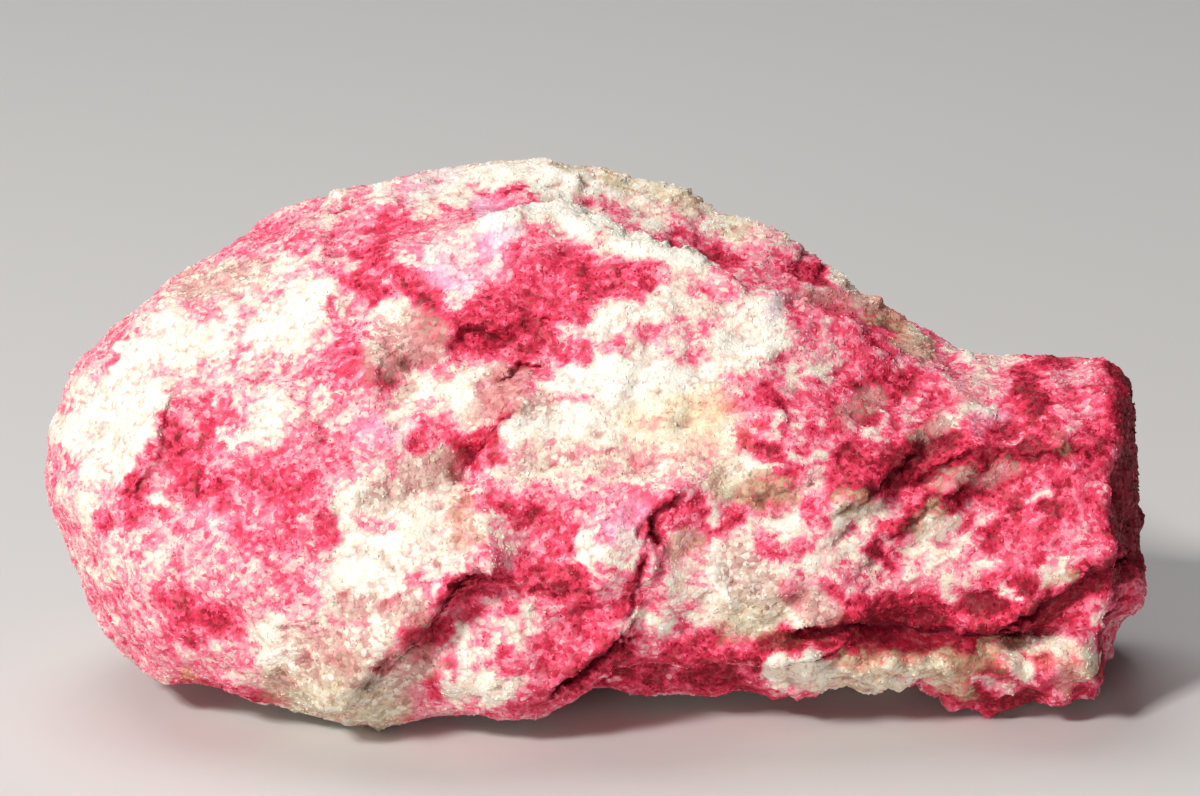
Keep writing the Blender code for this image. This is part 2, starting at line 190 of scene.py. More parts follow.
LEFT_PATCHES = (
    (P, 6.0, (-24.0, -1.0, -18.0, -8.0)), (B, 1.8, (-26.5, -6.4, -21.5, -6.2), 0.6),
    (B, 1.2, (-19.0, -6.8, -16.4, -6.9), 0.5), (C, 2.5, (-26.3, 2.6, -25.6, 0.4)),
    (C, 1.5, (-26.0, -1.0, -26.3, -2.6)), (C, 0.7, (-27.4, -3.0, -27.6, -4.4)),
    (C, 1.8, (-24.2, 4.2, -22.2, 6.2)), (P, 0.9, (-27.6, 4.2, -26.0, 5.9)),
    (W, 0.6, (-25.6, 4.6, -24.3, 4.8)), (B, 1.3, (-22.0, 8.0, -18.5, 9.3)),
    (Q, 1.1, (-21.8, 8.2, -18.8, 9.2), 0.7), (C, 1.2, (-22.0, 5.0, -19.5, 5.8)),
    (P, 0.8, (-21.8, 6.8, -20.7, 6.9)), (C, 2.0, (-18.8, 5.8, -15.4, 7.4)),
    (C, 0.9, (-16.0, 8.3, -15.0, 8.6)), (P, 1.4, (-18.5, 10.8, -14.0, 12.0)),
    (H, 0.8, (-14.6, 11.6, -11.0, 12.0)), (C, 0.5, (-17.3, 9.7, -15.2, 10.0)),
    (C, 0.8, (-14.2, 13.5, -10.5, 14.4)), (H, 1.5, (-13.8, 9.6, -11.0, 9.6)),
    (R, 0.6, (-12.8, 10.2, -10.6, 10.6)), (H, 0.9, (-13.4, 8.6, -10.8, 8.6)),
    (P, 0.6, (-12.8, 7.4, -12.2, 6.6)), (H, 1.1, (-13.7, 5.4, -13.3, 4.0)),
    (C, 0.8, (-16.0, 5.4, -15.2, 5.2)), (P, 1.3, (-12.2, 2.2, -11.4, 3.2)),
    (H, 1.5, (-22.6, 0.6, -20.6, 0.4)), (B, 1.0, (-23.4, 3.2, -20.0, 3.2)),
    (B, 0.8, (-19.0, 0.2, -18.0, -0.2)), (R, 0.7, (-23.0, 0.4, -22.4, -0.6)),
    (R, 0.5, (-21.5, 0.6, -21.4, 0.0)), (C, 0.8, (-17.9, 0.2, -17.8, 1.6)),
    (C, 0.9, (-18.4, 2.0, -16.6, 2.6), 0.7), (P, 0.5, (-19.6, 2.6, -18.6, 2.4)),
    (P, 0.5, (-17.0, 3.2, -16.4, 2.6)), (R, 0.9, (-22.0, -2.0, -21.4, -3.6)),
    (R, 0.6, (-20.3, -2.7, -20.1, -3.3)), (H, 2.0, (-17.8, -2.0, -15.4, -4.0)),
    (R, 0.4, (-18.0, -3.0)), (R, 0.5, (-16.5, -3.4, -15.7, -2.4)),
    (R, 0.55, (-25.0, -2.0, -24.4, -3.8)), (W, 0.5, (-23.6, -3.4, -23.2, -3.8)),
    (P, 0.9, (-23.6, -4.4, -22.0, -4.8)), (P, 1.0, (-26.6, -3.2, -24.8, -5.0), 0.9),
    (H, 1.2, (-19.4, -5.0, -15.4, -5.6)), (B, 0.5, (-21.4, -4.4, -20.6, -4.6), 0.7),
    (V, 0.9, (-22.0, -4.4, -20.4, -4.7), 0.5), (H, 0.6, (-27.2, -4.7, -26.2, -4.6)),
    (P, 0.9, (-29.6, -0.6, -29.0, -4.4)), (H, 1.4, (-23.2, -9.4, -20.6, -10.0)),
    (R, 0.7, (-22.6, -10.2, -20.6, -10.0)), (P, 0.8, (-22.8, -11.4, -22.0, -11.8)),
    (P, 1.7, (-26.6, -8.8, -25.0, -11.2)), (B, 0.7, (-21.0, -11.8, -19.5, -12.0), 0.5),
    (P, 1.2, (-24.0, -11.6, -20.0, -12.8), 0.6), (H, 0.7, (-22.5, -13.6, -18.6, -14.0)),
    (R, 0.6, (-18.6, -14.2, -16.6, -14.8)), (O, 0.6, (-22.2, -13.0), 0.7),
    (C, 1.2, (-17.8, -10.8, -17.2, -12.8)), (C, 3.0, (-12.6, -4.8, -12.0, -7.4)),
    (C, 2.3, (-9.6, -4.2, -9.4, -6.8)), (C, 1.8, (-14.4, -9.4, -12.2, -10.2)),
    (Q, 0.9, (-13.6, -9.2, -9.8, -9.6), 0.8), (P, 0.5, (-15.6, -8.4, -15.0, -9.0)),
    (P, 0.45, (-12.0, -9.9, -10.6, -9.6), 0.8), (R, 0.35, (-11.6, -9.4, -10.8, -8.9), 0.8),
    (R, 0.3, (-13.6, -8.8), 0.8), (B, 1.6, (-15.6, -11.2, -13.2, -12.2)),
    (Q, 1.5, (-15.6, -11.4, -11.6, -12.2), 0.55), (R, 0.35, (-13.5, -12.3)),
    (R, 0.35, (-11.3, -12.0)), (C, 1.3, (-16.0, -14.2, -12.0, -14.8)),
    (L, 1.6, (-16.4, -14.0, -11.6, -14.8), 0.8), (Q, 0.8, (-12.0, -3.2, -10.6, -2.8), 0.8),
    (Q, 0.8, (-10.2, -2.3, -9.0, -1.8), 0.9), (P, 1.7, (-12.4, 0.0, -9.8, 0.8)),
    (V, 1.0, (-12.6, 0.4, -10.8, 0.2), 0.7), (B, 0.7, (-14.6, 12.4, -11.0, 12.8)),
    (B, 0.6, (-14.2, 9.8, -13.2, 9.0)), (R, 0.9, (-12.4, 8.2, -10.0, 8.6)),
    (P, 0.6, (-16.6, 9.0, -15.6, 9.0), 0.7), (P, 0.5, (-19.6, 4.6, -18.9, 7.2), 0.8),
    (B, 0.5, (-18.8, 3.6, -15.6, 4.2, -14.4, 5.8)), (P, 0.5, (-19.4, 2.2, -18.4, 2.3)),
    (W, 0.45, (-24.0, 1.6, -23.8, 2.4)), (C, 0.8, (-29.0, 0.6, -28.2, 0.0)),
    (B, 0.6, (-28.6, -3.0, -28.2, -3.6)), (H, 0.6, (-24.4, -1.2, -23.8, -0.2)),
    (R, 0.6, (-25.5, -3.8, -25.0, -3.0)), (P, 0.8, (-24.0, -5.4, -22.8, -5.2), 0.9),
    (P, 0.5, (-21.4, -5.2, -20.6, -5.8)), (P, 0.6, (-18.8, -6.6, -18.0, -6.6)),
    (H, 0.7, (-15.4, -3.2, -14.6, -5.4)), (P, 0.8, (-18.6, -4.6, -17.6, -4.8)),
    (B, 0.5, (-18.2, -0.2, -17.4, -0.1)), (B, 0.6, (-14.8, 2.2, -14.2, 1.0)),
    (B, 0.5, (-13.0, -0.8, -12.2, -0.8)), (B, 0.7, (-26.9, -7.2, -26.2, -7.6)),
    (P, 0.7, (-20.8, -8.2, -20.2, -8.6)), (P, 0.5, (-17.8, -8.7, -17.0, -8.7)),
    (B, 0.8, (-19.4, -13.0, -18.2, -12.9)), (C, 0.7, (-12.4, -13.4, -11.4, -13.8)),
    (R, 0.35, (-13.6, -12.4, -13.2, -12.5)), (R, 0.7, (-12.6, 8.4, -11.4, 8.0)),
    (P, 0.6, (-13.6, 10.8, -11.4, 11.2)), (R, 0.8, (-12.2, 4.2, -11.0, 3.0), 0.9),
    (H, 0.45, (-14.4, 7.4, -14.2, 6.6)), (P, 0.4, (-19.5, 2.6, -18.9, 2.0)),
    (P, 0.7, (-24.4, -4.6, -23.0, -5.8)), (P, 0.6, (-19.4, -6.8, -15.6, -6.9), 0.8),
    (P, 0.4, (-16.0, -9.0, -15.4, -9.2)), (B, 0.5, (-18.0, -8.9, -17.2, -8.6)),
    (P, 0.5, (-20.0, -11.6, -19.0, -12.0), 0.8), (P, 0.45, (-21.2, -3.4, -20.8, -3.8)),
    (P, 0.4, (-18.4, -0.6, -17.6, -0.7)), (B, 0.5, (-12.2, -1.2, -11.6, -2.6)),
    (Q, 0.8, (-17.4, -13.4, -15.6, -13.0), 0.8), (Q, 0.6, (-14.2, -12.4, -13.2, -12.8), 0.8),
    (C, 0.7, (-12.2, -13.5, -11.2, -13.9)), (R, 0.8, (-12.4, 8.2, -11.2, 7.9)),
    (P, 0.6, (-17.9, 8.0, -17.3, 7.6), 0.7), (P, 0.5, (-19.8, 5.5, -19.0, 5.3), 0.7),
    (P, 0.6, (-17.4, 3.6, -16.2, 3.2), 0.7), (P, 0.6, (-20.0, 2.6, -19.0, 1.8), 0.8),
    (P, 0.5, (-19.6, 0.4, -19.2, -0.4), 0.7), (W, 0.45, (-23.5, 2.0, -23.2, 1.3), 0.8),
    (P, 0.5, (-22.7, 0.9, -22.1, 0.4)), (B, 0.45, (-18.2, -0.5, -17.4, -0.4)),
    (P, 0.5, (-21.6, -4.2, -21.0, -5.0)), (P, 0.5, (-18.9, -6.2, -18.3, -7.0)),
    (P, 0.5, (-16.6, -7.0, -15.4, -7.1)), (Q, 0.9, (-14.2, -12.2, -13.2, -13.0)),
    (P, 0.5, (-14.2, -12.3, -13.3, -12.9), 0.8), (P, 0.4, (-13.4, -9.2, -12.6, -9.5), 0.8),
    # The W row in the next line is painted light on a shaded face at the lower left.
    (W, 0.7, (-12.3, -13.3, -11.3, -13.8)), (B, 0.5, (-19.8, 9.3, -19.0, 9.1)),
    (B, 0.5, (-15.2, 11.5, -14.4, 11.7)), (B, 0.5, (-11.1, 12.2, -10.5, 11.7)),
    (B, 0.4, (-15.2, 5.5, -14.4, 5.3)), (P, 0.5, (-10.7, 10.6, -9.7, 10.3)),
)

MIDDLE_PATCHES = (
    (B, 1.1, (-10.4, 14.0, -7.8, 14.6)), (V, 0.9, (-10.0, 14.0, -8.0, 14.4), 0.5),
    (C, 1.2, (-7.4, 14.8, -3.0, 15.0)), (C, 1.4, (-3.4, 13.9, 4.6, 13.9)),
    (L, 0.5, (-2.0, 15.0, -0.7, 15.0), 0.8), (L, 0.6, (0.9, 14.0, 1.6, 13.9), 0.8),
    (L, 0.8, (3.6, 13.7, 5.2, 13.0), 0.7), (O, 1.0, (1.0, 14.6, 3.6, 14.0), 0.35),
    (P, 0.5, (-0.7, 13.5, -0.2, 13.6)), (P, 0.45, (0.7, 13.2, 2.4, 12.6), 0.6),
    (P, 0.9, (3.4, 11.7, 6.0, 12.2), 0.6), (H, 0.5, (3.6, 11.6, 5.4, 10.8), 0.8),
    (C, 1.1, (6.6, 12.2, 9.8, 11.4)), (L, 0.7, (7.2, 11.9, 7.8, 11.4), 0.7),
    (H, 0.9, (-11.8, 11.8, -8.6, 12.7, -6.0, 13.1, -3.4, 13.1)),
    (C, 0.8, (-8.4, 14.5, -5.6, 14.7, -3.0, 14.5)), (R, 0.5, (-8.3, 12.5, -8.0, 11.9)),
    (C, 0.5, (-9.7, 12.5, -8.9, 12.3)), (B, 0.7, (-6.0, 12.7, -5.0, 12.7)),
    (V, 0.8, (-6.1, 12.7, -5.0, 12.8), 0.8), (B, 2.2, (-8.4, 10.2, -6.4, 10.0)),
    (V, 1.6, (-9.0, 9.6, -5.8, 9.8), 0.45), (W, 0.6, (-10.1, 10.0, -9.6, 10.2)),
    (V, 0.8, (-8.3, 8.8, -7.4, 8.4)), (V, 0.7, (-5.6, 10.8, -5.0, 11.2), 0.9),
    (B, 0.9, (-6.6, 8.9, -5.8, 8.4)), (R, 1.5, (-3.2, 9.2, -0.4, 8.8)),
    (H, 1.6, (-3.6, 9.8, -3.0, 8.2)), (R, 1.2, (0.4, 9.0, 2.6, 9.0)),
    (H, 0.45, (0.0, 9.7, 3.0, 9.4)), (P, 0.6, (3.4, 8.9, 4.2, 8.6), 0.7),
    (C, 0.7, (5.0, 9.0, 7.0, 8.6), 0.8), (P, 0.9, (7.4, 8.6, 10.6, 8.0)),
    (P, 0.7, (8.8, 9.6, 10.4, 9.2), 0.8), (H, 0.7, (-0.6, 7.7, 2.2, 8.0)),
    (B, 0.6, (-1.6, 5.6, -0.4, 5.6), 0.8), (H, 1.0, (-10.4, 8.6, -8.8, 7.6)),
    (P, 0.7, (-9.6, 7.0, -8.8, 6.0)), (H, 1.3, (-8.4, 7.2, -5.2, 7.3)),
    (W, 0.5, (-7.9, 7.3, -7.2, 8.0)), (R, 1.0, (-8.2, 6.2, -4.6, 6.6)),
    (R, 1.1, (-7.4, 5.2, -3.2, 5.8)), (D, 0.6, (-6.2, 5.5, -5.0, 5.7)),
    (D, 0.6, (-3.7, 5.8, -2.8, 6.4)), (H, 1.0, (-2.6, 7.2, -1.0, 6.6)),
    (H, 1.1, (-4.6, 3.2, -3.2, 4.8)), (R, 0.5, (-4.4, 3.3, -3.9, 4.1)),
    (P, 0.9, (-3.2, 3.6, -2.4, 4.2)), (P, 0.9, (-5.4, 2.2, -3.2, 3.0)),
    (H, 0.8, (-9.8, 4.0, -7.2, 4.2)), (C, 1.4, (-11.4, 7.6, -10.2, 7.0)),
    (B, 1.3, (-11.4, 5.0, -9.6, 5.6)), (Q, 1.4, (-11.4, 4.4, -9.4, 5.8), 0.95),
    (R, 0.5, (-11.2, 4.6, -10.8, 4.1)), (C, 1.4, (-9.6, 2.6, -6.8, 3.0)),
    (B, 1.0, (-11.0, 1.8, -9.6, 1.8)), (C, 0.8, (-9.8, 1.8, -8.2, 1.6)),
    (C, 0.8, (-6.9, 1.2, -7.0, 2.2)), (B, 1.0, (-6.2, 1.4, -5.6, 3.0)),
    (Q, 1.0, (-6.2, 1.4, -5.4, 3.0), 0.8), (H, 0.9, (-5.4, 2.4, -3.6, 3.4)),
    (P, 0.8, (-5.6, 1.2, -4.8, 2.2)), (Q, 0.5, (-4.2, 1.9, -2.8, 1.8)),
    (H, 1.2, (-9.8, 0.0, -8.6, 0.6)), (R, 0.9, (-7.4, -0.6, -6.2, -0.2)),
    (D, 0.6, (-7.8, -1.4, -6.6, -1.2)), (R, 0.6, (-5.1, 1.2, -5.5, 0.1, -6.3, -1.2)),
    (D, 0.35, (-5.3, 0.7, -5.7, 0.0, -6.5, -1.0)), (B, 0.9, (-9.8, -1.8, -8.2, -1.6)),
    (Q, 0.9, (-10.0, -2.0, -8.2, -1.5), 0.9), (C, 2.6, (-2.6, 0.2, 1.0, 0.8)),
    (W, 1.6, (-4.2, 0.6, -1.8, 0.6)), (C, 2.4, (1.0, 3.0, 6.0, 3.6)),
    (W, 1.8, (1.4, 2.6, 4.4, 3.6)), (C, 1.6, (-1.2, 3.4, 1.0, 4.0)), (W, 1.0, (0.4, 6.1, 4.6, 7.1)),
    (C, 1.8, (4.6, 6.6, 9.6, 5.4)), (W, 0.9, (6.6, 5.0, 9.6, 4.8)), (C, 1.6, (4.6, 0.0, 7.6, -0.4)),
    (O, 2.2, (3.0, 0.8, 6.8, 0.2), 0.5), (O, 0.8, (5.6, 0.9, 6.6, 1.2), 0.9),
    (P, 0.5, (2.6, 0.6, 3.8, 1.0), 0.7), (H, 0.5, (0.6, 5.1, 1.5, 5.4)),
    (H, 0.7, (-1.6, 4.5, -0.7, 4.8)), (P, 0.5, (2.6, 5.9, 3.6, 5.9)),
    (P, 0.6, (5.9, 6.1, 6.7, 5.8)), (P, 0.4, (3.8, 6.4, 4.4, 6.5)),
    (P, 0.6, (4.4, 4.6, 5.6, 4.2), 0.7), (P, 0.7, (5.6, 4.9, 6.6, 4.8), 0.7),
    (P, 0.6, (-1.6, 2.3, -0.6, 2.4), 0.7), (B, 1.5, (-5.0, -1.4, 4.8, -1.6)),
    (B, 0.9, (-3.0, -2.8, 2.6, -2.7, 5.6, -2.4), 0.8), (C, 0.6, (-5.6, -1.8, 5.4, -1.6), 0.4),
    (Q, 1.3, (-4.6, -1.4, -1.0, -1.0, 4.6, -1.8), 0.4), (C, 1.1, (6.4, -1.0, 7.2, -2.0)),
    (L, 0.9, (7.0, -2.6, 8.8, -2.6), 0.9), (H, 0.9, (8.2, -0.5, 9.6, -1.2)),
    (P, 1.5, (8.2, 3.0, 9.6, 3.6)), (H, 0.8, (9.4, 1.0, 9.6, 2.2)),
    (P, 1.2, (-6.4, -3.4, -1.0, -4.4)), (H, 0.7, (-5.6, -3.6, -3.8, -3.9)),
    (R, 0.5, (-3.8, -4.3, -2.9, -4.1)), (B, 1.0, (-7.2, -4.6, -5.6, -4.8)),
    (L, 0.8, (-7.3, -3.6, -7.2, -5.8), 0.7), (C, 0.7, (-6.2, -4.7, -5.2, -5.0)),
    (P, 1.4, (-5.4, -6.0, -2.0, -5.8)), (H, 0.9, (-2.4, -5.0, -1.8, -6.8)),
    (W, 1.3, (-0.4, -5.2, 0.5, -6.5)), (B, 1.3, (0.6, -4.6, 2.0, -5.6)),
    (V, 1.2, (0.8, -4.8, 2.0, -5.4), 0.6), (P, 0.4, (0.2, -5.3, 0.8, -5.4)),
    (P, 1.0, (0.8, -3.6, 2.6, -3.6)), (V, 0.8, (1.8, -3.6, 2.6, -3.9), 0.6),
    (H, 1.2, (4.4, -4.2, 5.6, -4.6)), (H, 0.6, (5.8, -4.6, 7.8, -4.4), 0.9),
    (P, 0.6, (8.0, -4.4, 10.4, -3.9), 0.7), (R, 0.4, (5.6, -3.2, 4.9, -3.1)),
    (R, 0.4, (5.8, -4.1, 6.0, -4.2)), (D, 0.45, (2.95, -5.0, 3.2, -4.3, 4.2, -3.5)),
    (R, 0.3, (3.0, -5.2, 3.4, -5.9)), (R, 0.35, (7.2, -4.8, 8.2, -4.4)),
    (C, 0.4, (6.4, -4.3, 6.5, -4.0)), (P, 1.0, (-5.6, -7.2, -2.0, -7.2)),
    (R, 0.9, (-3.6, -7.7, -0.8, -8.3)), (R, 0.7, (-0.6, -7.6, 0.2, -9.6)),
    (P, 0.7, (0.6, -7.4, 1.2, -8.6)),
    (R, 0.6, (-5.6, -7.9, -7.0, -8.1, -7.7, -9.0, -8.4, -10.0, -10.0, -11.5)),
    (H, 0.8, (-6.2, -8.3, -3.4, -8.4)), (D, 0.3, (-11.0, -12.2, -11.8, -12.6)),
    (P, 1.2, (-4.2, -12.8, -1.0, -10.4)), (P, 1.5, (-6.6, -9.6, -3.4, -9.4)),
    (C, 0.6, (-6.4, -9.6, -4.4, -9.7), 0.8), (B, 0.8, (-6.8, -10.2, -5.8, -11.0)),
    (H, 1.0, (-3.2, -11.6, -1.6, -12.4)), (H, 0.9, (-1.6, -9.8, 0.2, -10.8)),
    (H, 0.5, (-5.2, -12.0, -4.6, -12.0)), (H, 0.6, (-4.6, -12.4, -4.4, -13.2), 0.8),
    (C, 0.9, (-6.8, -11.8, -5.8, -14.2)), (P, 0.4, (-6.6, -12.6, -5.8, -12.4), 0.7),
    (C, 0.6, (-4.6, -10.8, -4.2, -11.2)), (C, 0.5, (-3.6, -9.9, -3.2, -10.2)),
    (C, 0.6, (-5.2, -14.0, -4.4, -13.8)), (R, 0.5, (-9.2, -13.2, -8.6, -13.7)),
    (C, 0.7, (-7.8, -13.0, -7.6, -14.0)), (B, 0.9, (-10.6, -13.2, -9.8, -12.6)),
    (Q, 1.1, (-10.8, -13.4, -9.4, -12.4), 0.9), (R, 0.4, (2.7, -7.3, 2.2, -8.5, 1.6, -9.6)),
    (R, 0.4, (1.5, -11.0, 0.5, -11.9, -0.7, -12.8, -1.7, -13.6)), (B, 0.9, (4.0, -9.2, 6.6, -9.5)),
    (P, 0.9, (3.4, -7.6, 3.6, -9.8)), (H, 0.5, (3.3, -8.9, 3.7, -9.0)),
    (C, 1.3, (5.0, -8.2, 6.8, -8.2)), (C, 1.6, (7.4, -7.0, 9.4, -9.2)),
    (Q, 1.3, (7.4, -6.7, 9.0, -8.2), 0.8), (L, 0.7, (4.4, -5.9, 5.4, -5.9), 0.8),
    (P, 0.6, (5.4, -8.0, 5.9, -8.0), 0.6), (P, 1.0, (1.4, -10.3, 5.2, -10.9)),
    (C, 0.4, (2.6, -10.4, 4.0, -10.2)), (R, 0.6, (5.2, -11.3, 7.0, -11.4)),
    (R, 0.5, (6.2, -12.2, 8.4, -12.3)), (L, 0.9, (7.2, -10.4, 9.2, -10.2), 0.9),
    # The D row in the next line is painted shade on the downward-facing strip below the tongue,
    # partly over crimson rock.
    (D, 1.0, (0.8, -12.9, 8.8, -13.2)), (R, 0.7, (1.6, -12.6, 4.4, -13.2)),
    (R, 0.5, (2.0, -11.9, 6.6, -12.0), 0.8), (B, 0.3, (0.8, -13.2)), (B, 0.4, (4.3, -12.8)),
    (P, 0.6, (-4.4, 13.1, -1.6, 13.3, 1.2, 12.6), 0.8), (P, 0.7, (-4.0, 11.4, -2.4, 11.0)),
    # The white ridge in the next three lines is partly white albite and partly a painted highlight,
    # which keeps it bright where it turns from the light.
    (W, 0.45, (-5.9, 11.7, -4.4, 12.3, -2.8, 12.3)),
    (W, 0.8, (-2.2, 12.1, -0.6, 11.5, 0.8, 11.0, 2.0, 10.5)),
    (W, 0.5, (2.0, 10.4, 4.0, 10.0, 5.5, 9.4, 6.6, 9.0)), (C, 0.7, (-9.4, 13.6, -7.2, 13.3)),
    (B, 0.6, (-2.6, 13.8, -1.6, 13.5)), (B, 0.7, (1.0, 12.9, 1.8, 12.2)),
    (W, 0.5, (-5.0, 11.0, -4.2, 11.2), 0.9), (V, 0.6, (-5.0, 11.0, -4.2, 11.2), 0.6),
    (R, 1.0, (-10.2, 8.3, -9.0, 7.4, -8.6, 6.6)), (P, 0.6, (-9.0, 4.0, -8.2, 4.1)),
    (P, 0.8, (-5.4, 2.2, -3.8, 2.7)), (Q, 0.8, (-5.6, 2.3, -3.6, 2.0), 0.9),
    (R, 0.5, (-5.4, 0.0, -5.6, -1.0)), (B, 0.6, (-9.2, 1.7, -8.4, 1.5)),
    (P, 0.5, (0.6, 4.8, 1.4, 4.8), 0.7), (P, 0.5, (3.6, 5.4, 3.6, 4.6), 0.7),
    (H, 0.9, (8.0, 9.0, 10.4, 8.6), 0.9), (P, 0.6, (8.4, 6.4, 8.6, 5.8)),
    (B, 0.5, (-1.2, 5.7, -0.4, 5.5)), (B, 0.6, (7.6, 4.2, 8.4, 4.2)),
    (H, 0.6, (9.4, 1.8, 9.8, 1.0)), (H, 0.7, (8.6, -0.8, 9.4, -1.2)),
    (H, 0.5, (-1.0, -3.7, -1.4, -5.9)), (B, 0.5, (-5.0, -5.2, -4.2, -5.2)),
    (W, 0.5, (-0.9, -6.7, -0.3, -6.9)), (P, 0.6, (3.8, -2.9, 6.0, -2.6)),
    (B, 0.4, (3.2, -6.8, 3.5, -6.4)), (P, 0.5, (5.0, -5.6, 5.5, -5.6)),
    (P, 0.5, (7.6, -5.4, 8.2, -5.5)), (H, 0.6, (9.2, -6.0, 9.8, -6.5), 0.8),
    (C, 0.5, (8.8, -4.5, 10.4, -4.3)), (P, 0.6, (-5.4, -9.0, -4.4, -9.2)),
    (P, 0.5, (-7.0, -10.8, -6.2, -11.2)), (C, 0.5, (1.8, -10.3, 3.2, -10.5)),
    (C, 0.5, (5.0, -9.7, 5.7, -9.9)), (C, 0.5, (7.2, -11.0, 8.2, -10.9)),
    (R, 0.6, (8.0, -12.4, 9.4, -11.7)), (C, 0.5, (9.6, -9.7, 10.4, -9.6)),
    # The D rows in the next two lines are painted shadow below the left mass's edge and below the
    # tongue's right edge.
    (D, 0.5, (-10.2, -10.9, -8.6, -9.2, -7.8, -8.5, -6.6, -8.0), 0.9),
    (D, 0.5, (-0.8, -13.3, 0.6, -12.2, 1.4, -11.6)), (O, 1.4, (2.0, 1.0, 6.4, 1.6), 0.5),
    (O, 1.0, (-8.8, 2.8, -7.2, 3.0), 0.4), (B, 0.6, (-3.2, 14.0, -1.8, 13.6, -0.6, 12.9)),
    (C, 0.7, (1.2, 13.4, 2.4, 12.6, 3.4, 11.8)), (P, 0.6, (-9.8, 8.8, -9.2, 8.4), 0.8),
    (P, 0.8, (-9.6, 5.6, -8.6, 4.8)), (Q, 0.9, (-9.8, 5.8, -8.8, 4.6), 0.9),
    (P, 0.5, (-9.4, 3.6, -8.6, 3.7)), (P, 0.6, (-5.0, 3.4, -4.2, 2.8)),
    (B, 0.5, (-3.4, 1.7, -0.8, 2.1)), (Q, 0.6, (-5.2, 2.0, -2.8, 1.7), 0.9),
    (W, 0.9, (-2.2, 3.2, 0.6, 3.4, 3.0, 3.2), 0.8), (W, 0.8, (4.6, 2.8, 6.2, 3.6), 0.8),
    (W, 0.7, (-4.4, 0.9, -1.4, 0.9), 0.8), (P, 0.4, (-7.3, -3.0, -7.1, -5.4, -6.5, -6.8), 0.8),
    (P, 0.5, (-10.0, -8.0, -9.2, -8.1)), (R, 0.5, (-3.6, -8.1, -2.0, -8.4)),
    # In the next line the W row is painted light on the shaded face below the tongue's edge; the R
    # row in the line after is painted shade below the left mass's edge.
    (R, 0.6, (3.2, -6.4, 2.8, -8.0, 2.2, -9.6, 1.6, -10.4)), (W, 0.55, (2.2, -10.3, 3.4, -10.5)),
    (R, 0.8, (-9.4, -11.4, -8.0, -9.8, -6.8, -8.8, -5.2, -8.3), 0.9),
    (H, 0.4, (-8.2, -12.4, -7.8, -12.9)), (P, 0.5, (7.0, -10.5, 7.8, -10.6)),
    (B, 0.5, (-1.2, -4.2, -0.4, -4.6)), (B, 0.5, (-5.8, -5.4, -5.0, -5.8)),
    (W, 0.9, (-4.0, 13.8, -2.0, 13.9, -0.6, 13.3)), (B, 0.4, (0.0, 10.7, 0.4, 10.1)),
    (B, 0.45, (-1.4, 5.6, -0.9, 5.2)), (P, 0.5, (-8.2, 8.3, -7.4, 8.1), 0.8),
    (R, 0.5, (-9.2, 6.3, -8.4, 5.6)), (Q, 0.7, (-5.2, 3.2, -4.2, 3.4), 0.9),
    (P, 0.45, (-5.0, 2.4, -5.2, 1.2), 0.8), (P, 0.4, (-2.9, 4.1, -2.2, 3.9), 0.8),
    (P, 0.4, (3.0, 8.9, 3.8, 8.4)), (P, 0.4, (3.0, 11.2, 3.8, 10.9)),
    (B, 0.6, (5.6, 8.3, 6.6, 8.0)), (P, 0.6, (8.4, 7.2, 8.8, 6.2, 8.5, 5.0)),
    (P, 0.5, (5.2, 5.5, 6.0, 5.0)), (B, 0.45, (2.0, -0.9, 2.8, -1.1)),
    (B, 0.6, (5.8, -0.8, 6.4, -2.4), 0.9), (H, 0.6, (3.6, -4.2, 4.6, -4.9, 5.8, -5.2)),
    (P, 0.5, (4.6, -5.9, 5.4, -5.7)), (P, 0.5, (7.4, -6.4, 9.0, -6.9, 10.0, -8.0), 0.8),
    (P, 0.7, (3.3, -6.4, 3.1, -7.6, 2.8, -9.0)), (R, 0.3, (2.6, -6.8, 2.2, -8.2, 1.7, -9.6)),
    (B, 0.6, (1.8, -10.2, 2.8, -10.0, 3.8, -9.6)), (P, 0.55, (1.7, -10.9, 2.4, -11.0)),
    (P, 0.6, (-8.5, -9.4, -7.0, -10.6)), (C, 0.4, (-7.6, -10.4, -6.8, -10.8)),
    (R, 0.4, (-5.2, -3.9, -4.6, -4.2)), (R, 0.4, (-1.9, -3.8, -1.2, -4.2)),
    (R, 0.4, (-2.0, -6.1, -1.2, -6.4)), (R, 0.45, (-5.4, -9.3, -4.6, -9.6)),
    (R, 0.5, (1.8, -11.9, 4.6, -11.5, 8.0, -11.2)), (P, 0.5, (3.4, -10.5, 4.2, -10.3)),
)

